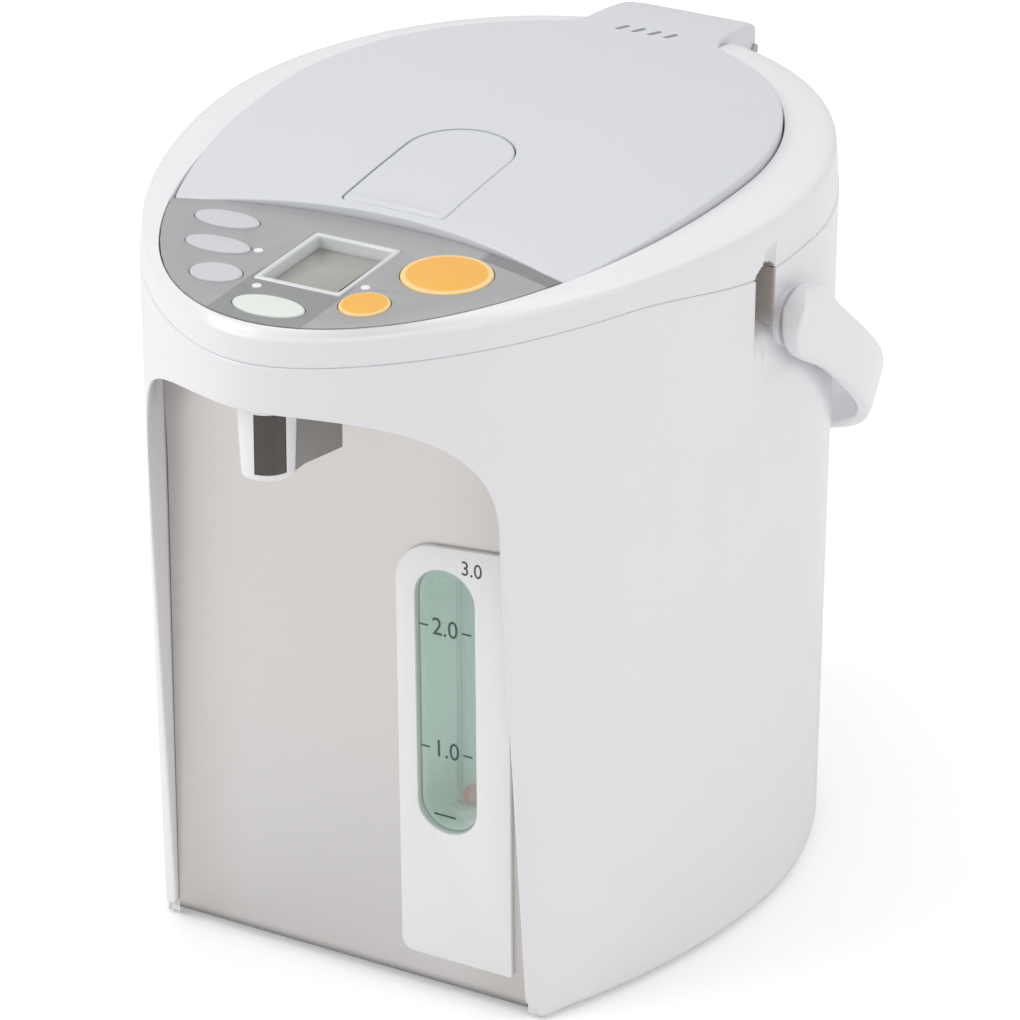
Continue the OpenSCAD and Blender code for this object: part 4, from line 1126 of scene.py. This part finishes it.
CROWN_H = span("lid_cover")[1].z
CROWN_R = 850.0
LID_GAP = 0.6
COVER_LOW = RIM_H - 3
TONGUE_REAR = span("lid_cover")[1].y
# Heights of the hinge block's top, from front to rear, as y and z
TONGUE_TOP = (
    (100, 264.0), (112, 262.9), (124, 262.0), (134, 261.0), (144, 259.4), (151, 257.6), (157.1, 255.0),
)
flap_low, flap_high = span("release_flap")


def crown_z(x, y):
    return CROWN_H - (x * x + (y - Y_OPEN) ** 2) / (2 * CROWN_R)


def lid_outline():
    """Right half of the lid's plan, from the middle of its front to the hinge block's rear."""
    brow_r = BROW_R + 0.5
    brow_mid = Y_BROW - BROW_R

    def brow(x):
        return (x, brow_mid + math.sqrt(brow_r**2 - x * x))

    def side(angle):
        x, y = open_point(np.array(math.radians(angle)), LID_GAP)
        return (float(x), float(y))

    def beyond(angle):
        x, y = side(angle)
        return math.hypot(x, y - brow_mid) > brow_r

    corner = next(a for a in np.arange(-60, 0, 0.05) if beyond(a))
    points = [brow(x) for x in np.linspace(0, side(corner)[0] - 4, 24)]
    points += list(curve(points[-1], side(corner), side(corner + 2), 6))[1:]
    neck = math.degrees(math.acos((HINGE_HALF_W + 6) / (OPEN_HALF_W - LID_GAP)))
    points += [side(a) for a in np.linspace(corner + 3.5, neck, 64)]
    y_neck = points[-1][1]
    bend, neck_end = (HINGE_HALF_W + 0.6, y_neck + 3.4), (HINGE_HALF_W - 0.2, y_neck + 10)
    points += list(curve(points[-1], bend, neck_end, 8))[1:]
    for t in np.linspace(0.05, 1, 14):
        points.append((HINGE_HALF_W - 0.3 - 1.2 * t, y_neck + 10 + (TONGUE_REAR - y_neck - 17) * t))
    end = points[-1]
    points += list(curve(end, (end[0], TONGUE_REAR), (end[0] - 7, TONGUE_REAR), 7))[1:]
    points += [(x, TONGUE_REAR) for x in np.linspace(end[0] - 9, 0, 8)]
    return points


def lid_top(x, y):
    """Height of the lid's top: its crown, which runs on over the hinge block and falls away at the rear."""
    crown = crown_z(x, y)
    tongue = np.interp(y, *zip(*TONGUE_TOP))
    share = smooth_step(y, 100, 124)
    return crown * (1 - share) + tongue * share


def wall_low(x, y):
    """Lower edge of the lid's wall, which reaches down around the hinge pin."""
    if y > Y_BACK + 1.2 and abs(x) < HINGE_HALF_W + 1:
        return HINGE_H - 3
    if y > Y_BACK - 17 and abs(x) < HINGE_HALF_W + 1:
        return NOTCH_H + 0.5
    return COVER_LOW


def make_lid():
    outline = mirrored(lid_outline())
    edge = np.array([0.8 + 2.2 * float(smooth_step(y, TONGUE_REAR - 9, TONGUE_REAR - 1)) for _, y in outline])
    centre = np.array([0.0, 30.0])
    rows = []
    rim = inset_path(outline, edge, closed=True)
    for share in (0.05, 0.12, 0.2, 0.28, 0.36, 0.44, 0.52, 0.6, 0.68, 0.76, 0.84, 0.91, 0.96, 1.0):
        plan = centre + (rim - centre) * share
        rows.append([(x, y, lid_top(x, y)) for x, y in plan])
    for turn in np.radians((20, 42, 64, 90)):
        plan = inset_path(outline, edge * (1 - math.sin(turn)), closed=True)
        drop = edge * (1 - math.cos(turn))
        rows.append([(x, y, z - d) for (x, y), d, (_, _, z) in zip(plan, drop, rows[13])])
    for share in (0.35, 0.7, 1.0):
        last = rows[17]
        rows.append([(x, y, z + (wall_low(x, y) - z) * share) for x, y, z in last])
    made = new_object("lid_shell", Shape().grid(rows, wrap_columns=True).cap(rows[0]))
    face_along(made, (0, 0, 1))
    modify(made, "SOLIDIFY", thickness=2.2 * MM, offset=-1.0)
    bake(made)
    weld(made.data)
    hole = flap_plan(0.45)
    sides = [[(x, y, z) for x, y in hole] for z in (COVER_LOW - 4, CROWN_H + 4)]
    cut(made, [solid("cutter", sides), *map(vent_cutter, VENTS), pin_cutter()])
    return dress(made, lid_grey, "lid", ["lid_cover"], "lid_grey", angle=40)


VENTS = (-9.3, -3.1, 3.1, 9.3)


def vent_cutter(x):
    """A slanted slot with round ends."""
    y, half, radius, slant = Y_BACK - 20, 2.3, 1.1, math.radians(-20)
    c, s = math.cos(slant), math.sin(slant)
    points = []
    for side in (1, -1):
        for i in range(9):
            turn = math.pi * i / 8 + (0 if side > 0 else math.pi)
            across, along = radius * math.cos(turn), side * half + radius * math.sin(turn)
            points.append((across * c - along * s, across * s + along * c))
    rows = [[(x + px, y + py, z) for px, py in points] for z in (COVER_LOW, CROWN_H + 2)]
    return solid("cutter", rows)


def pin_cutter():
    """The bore that the hinge pin passes through."""
    ring = [(Y_HINGE + 2.05 * math.cos(t), HINGE_H + 2.05 * math.sin(t)) for t in circle(32)]
    rows = [[(x, y, z) for y, z in ring] for x in (-40, 40)]
    return solid("cutter", rows)


def flap_plan(grow):
    """Outline of the release flap: straight sides and a round rear."""
    half, low = flap_high.x + grow, flap_low.y - grow
    mid = flap_high.y - flap_high.x
    right = [((half - 3) * t, low) for t in (0, 0.75, 1)]
    right += list(curve((half - 3, low), (half, low), (half, low + 3), 5))[1:]
    right += [(half, y) for y in np.linspace(low + 6, mid, 12)]
    right += [(half * math.cos(t), mid + half * math.sin(t)) for t in np.radians(np.linspace(6, 90, 15))]
    return mirrored(right)


def make_flap():
    outline = flap_plan(0.0)
    centre = np.array([0.0, (flap_low.y + flap_high.y) / 2])
    rows = []

    def top(x, y):
        """The flap follows the lid, dips where a thumb goes and has a raised lip at its front."""
        from_front = y - flap_low.y
        lip = 0.9 * math.exp(-(((from_front - 2.2) / 1.4) ** 2)) * (1 - smooth_step(abs(x), 12, 17))
        dip = 0.5 * math.exp(-(((from_front - 12) / 8) ** 2)) * (1 - smooth_step(abs(x), 6, 17))
        return crown_z(x, y) - 0.1 + float(lip) - float(dip)

    edge = np.full(len(outline), 0.7)
    rim = inset_path(outline, edge, closed=True)
    for share in list(np.linspace(0.04, 0.9, 14)) + [0.94, 0.97, 1.0]:
        plan = centre + (rim - centre) * share
        rows.append([(x, y, top(x, y)) for x, y in plan])
    last = rows[-1]
    for turn in np.radians((25, 50, 90)):
        plan = inset_path(outline, edge * (1 - math.sin(turn)), closed=True)
        rows.append([(x, y, z - 0.7 * (1 - math.cos(turn))) for (x, y), (_, _, z) in zip(plan, last)])
    rows.append([(x, y, z - 3.2) for x, y, z in rows[-1]])
    made = new_object("flap_shell", Shape().grid(rows, wrap_columns=True).cap(rows[0]))
    face_along(made, (0, 0, 1))
    modify(made, "SOLIDIFY", thickness=1.8 * MM, offset=-1.0)
    return dress(made, lid_grey, "flap", ["release_flap"], "lid_grey", angle=50)


make_lid()
make_flap()

# ---------------------------------------------------------------- handle

HANDLE_REST = math.radians(35.7)
HANDLE_REACH = 187.0
HANDLE_T = 5.2
BAND_HALF = 10.5
DISC_R = 12.5
DISC_X = span("handle")[1].x - HANDLE_T
BAIL_POWER = 2.4


def handle_point(x, reach, high):
    """A point of the handle at rest, from its place along and across the plane through its pivots."""
    along = (math.cos(HANDLE_REST), -math.sin(HANDLE_REST))
    across = (math.sin(HANDLE_REST), math.cos(HANDLE_REST))
    y, z = (reach * a + high * b for a, b in zip(along, across))
    return (x, Y_PIVOT + y, PIVOT_H + z)


def handle_path():
    """Middle line of the band from the right disc round to the left one, as x and reach."""
    mid_x, mid_reach = DISC_X + HANDLE_T / 2, HANDLE_REACH - HANDLE_T / 2
    points = [(mid_x, r) for r in -DISC_R * np.cos(np.radians(np.linspace(4, 90, 12)))]
    angles = np.radians(np.concatenate([np.linspace(1.2, 12, 8), np.linspace(15, 90, 40)]))
    points += [squarish(t, mid_x, mid_reach, BAIL_POWER) for t in angles]
    return points + [(-x, r) for x, r in reversed(points[:-1])]


def make_handle():
    path = np.array(handle_path())
    ahead = np.gradient(path, axis=0)
    ahead /= np.hypot(ahead[:, 0], ahead[:, 1])[:, None]
    rows = []
    for (x, reach), (ax, ar) in zip(path, ahead):
        half = math.sqrt(max(DISC_R**2 - reach**2, 0.05)) if reach < DISC_R else 0.0
        if reach > 0:
            half = max(half, BAND_HALF, DISC_R - (DISC_R - BAND_HALF) * float(smooth_step(reach, 2, 26)))
        section = []
        for t in circle(28):
            c, s = math.cos(t), math.sin(t)
            out = HANDLE_T / 2 * math.copysign(abs(c) ** 0.55, c)
            if c < 0:
                out *= 1 + 0.72 * (1 - float(smooth_step(reach, 9, 24)))
            high = half * math.copysign(abs(s) ** 0.36, s)
            section.append(handle_point(x + ar * out, reach - ax * out, high))
        rows.append(section)
    made = solid("handle_bail", rows)
    return dress(made, white, "handle_body", ["handle"], "body_white", angle=60)


def make_pivots():
    """Bosses on the body that carry the handle, with a short neck into each disc."""
    profile = [(99, 8.2), (104.8, 8.2), (105.4, 9.6)]
    profile += [(DISC_X + x, r) for x, r in ((-3.8, 9.8), (-3.5, 9.4), (-3.5, 6), (0.6, 5.9))]
    ring = [(math.cos(t), math.sin(t)) for t in circle(72)]
    shape = Shape()
    for side in (-1, 1):
        rows = [[(side * x, Y_PIVOT + r * c, PIVOT_H + r * s) for c, s in ring] for x, r in profile]
        shape.grid(rows, wrap_columns=True).cap(rows[0]).cap(rows[-1])
    made = new_object("pivot_bosses", shape)
    return dress(made, white, "pot", ["handle_pivots"], "body_white", angle=40)


make_handle()
make_pivots()

# ---------------------------------------------------------------- rear, base and inside

rounded("hinge_bracket", inner_white, 0.4)
rounded("power_inlet", black, 0.8, 3)
rounded("bottom_plate", inner_white, 0.4)
rounded("feet", rubber, 0.6, 3)
rounded("lid_gasket", silicone, 0.3)
rounded("container_seal", silicone, 0.3)
for finish, nodes in (
    (float_red, "float_ball"),
    (tube_clear, "gauge_tube"),
    (brass, "inlet_pins"),
    (steel_dull, "base_screws hinge_pin pump_axle motor_shaft pump_motor lid_screws flap_pin flap_spring"),
    (container_steel, "inner_container inner_lid"),
    (fibre, "vacuum_panel"),
    (heater_metal, "heater"),
    (magnet_metal, "drive_magnet"),
    (black, "thermistor key_switches"),
    (silicone, "pump_hose riser_pipe outlet_pipe"),
    (board_green, "main_board control_board"),
    (inner_white, "pump_housing pump_cover impeller board_posts control_housing lid_frame latch_bolt"),
):
    for node in nodes.split():
        keep(node, finish)

# ---------------------------------------------------------------- stage and light


def make_floor():
    made = new_object("floor", Shape().grid([[(x, y, 0) for x in (-4000, 4000)] for y in (-4000, 4000)]))
    finish = Finish("floor_paper", (0.93, 0.93, 0.93), 0.9)
    finish.feed("Base Color", finish.blend(finish.noise(0.01), (0.94, 0.94, 0.94), (0.92, 0.92, 0.92)))
    seen = finish.node("ShaderNodeLightPath", output="Is Camera Ray")
    finish.feed("Emission Color", finish.blend(seen, (0.0, 0.0, 0.0), (0.24, 0.24, 0.24)))
    finish.feed("Emission Strength", 1.0)
    made.data.materials.append(finish.material)


def make_world():
    """Even studio light; the camera and glass see it as white."""
    world = bpy.data.worlds.new("studio")
    bpy.context.scene.world = world
    world.use_nodes = True
    tree = world.node_tree
    background = tree.nodes["Background"]
    background.inputs["Color"].default_value = (1, 1, 1, 1)
    rays = tree.nodes.new("ShaderNodeLightPath")
    either = tree.nodes.new("ShaderNodeMath")
    either.operation = "MAXIMUM"
    tree.links.new(rays.outputs["Is Camera Ray"], either.inputs[0])
    tree.links.new(rays.outputs["Is Transmission Ray"], either.inputs[1])
    strength = tree.nodes.new("ShaderNodeMapRange")
    strength.inputs["To Min"].default_value = 0.62
    strength.inputs["To Max"].default_value = 1.0
    tree.links.new(either.outputs[0], strength.inputs["Value"])
    tree.links.new(strength.outputs["Result"], background.inputs["Strength"])


def lamp(name, place, size, watts):
    """A large soft lamp that points at the middle of the pot."""
    data = bpy.data.lights.new(name, "AREA")
    data.shape = "RECTANGLE"
    data.size, data.size_y = size
    data.energy = watts
    made = bpy.data.objects.new(name, data)
    bpy.context.scene.collection.objects.link(made)
    made.location = place
    made.rotation_mode = "QUATERNION"
    made.rotation_quaternion = (Vector((0, 0, 0.15)) - Vector(place)).to_track_quat("-Z", "Y")


make_floor()
make_world()
lamp("key", (-1.4, -1.1, 1.6), (1.4, 1.4), 19)
lamp("fill", (1.8, -0.2, 0.8), (1.2, 1.2), 5)
lamp("top", (0.0, 0.4, 2.0), (1.6, 1.6), 8)
bpy.context.scene.view_settings.view_transform = "Standard"
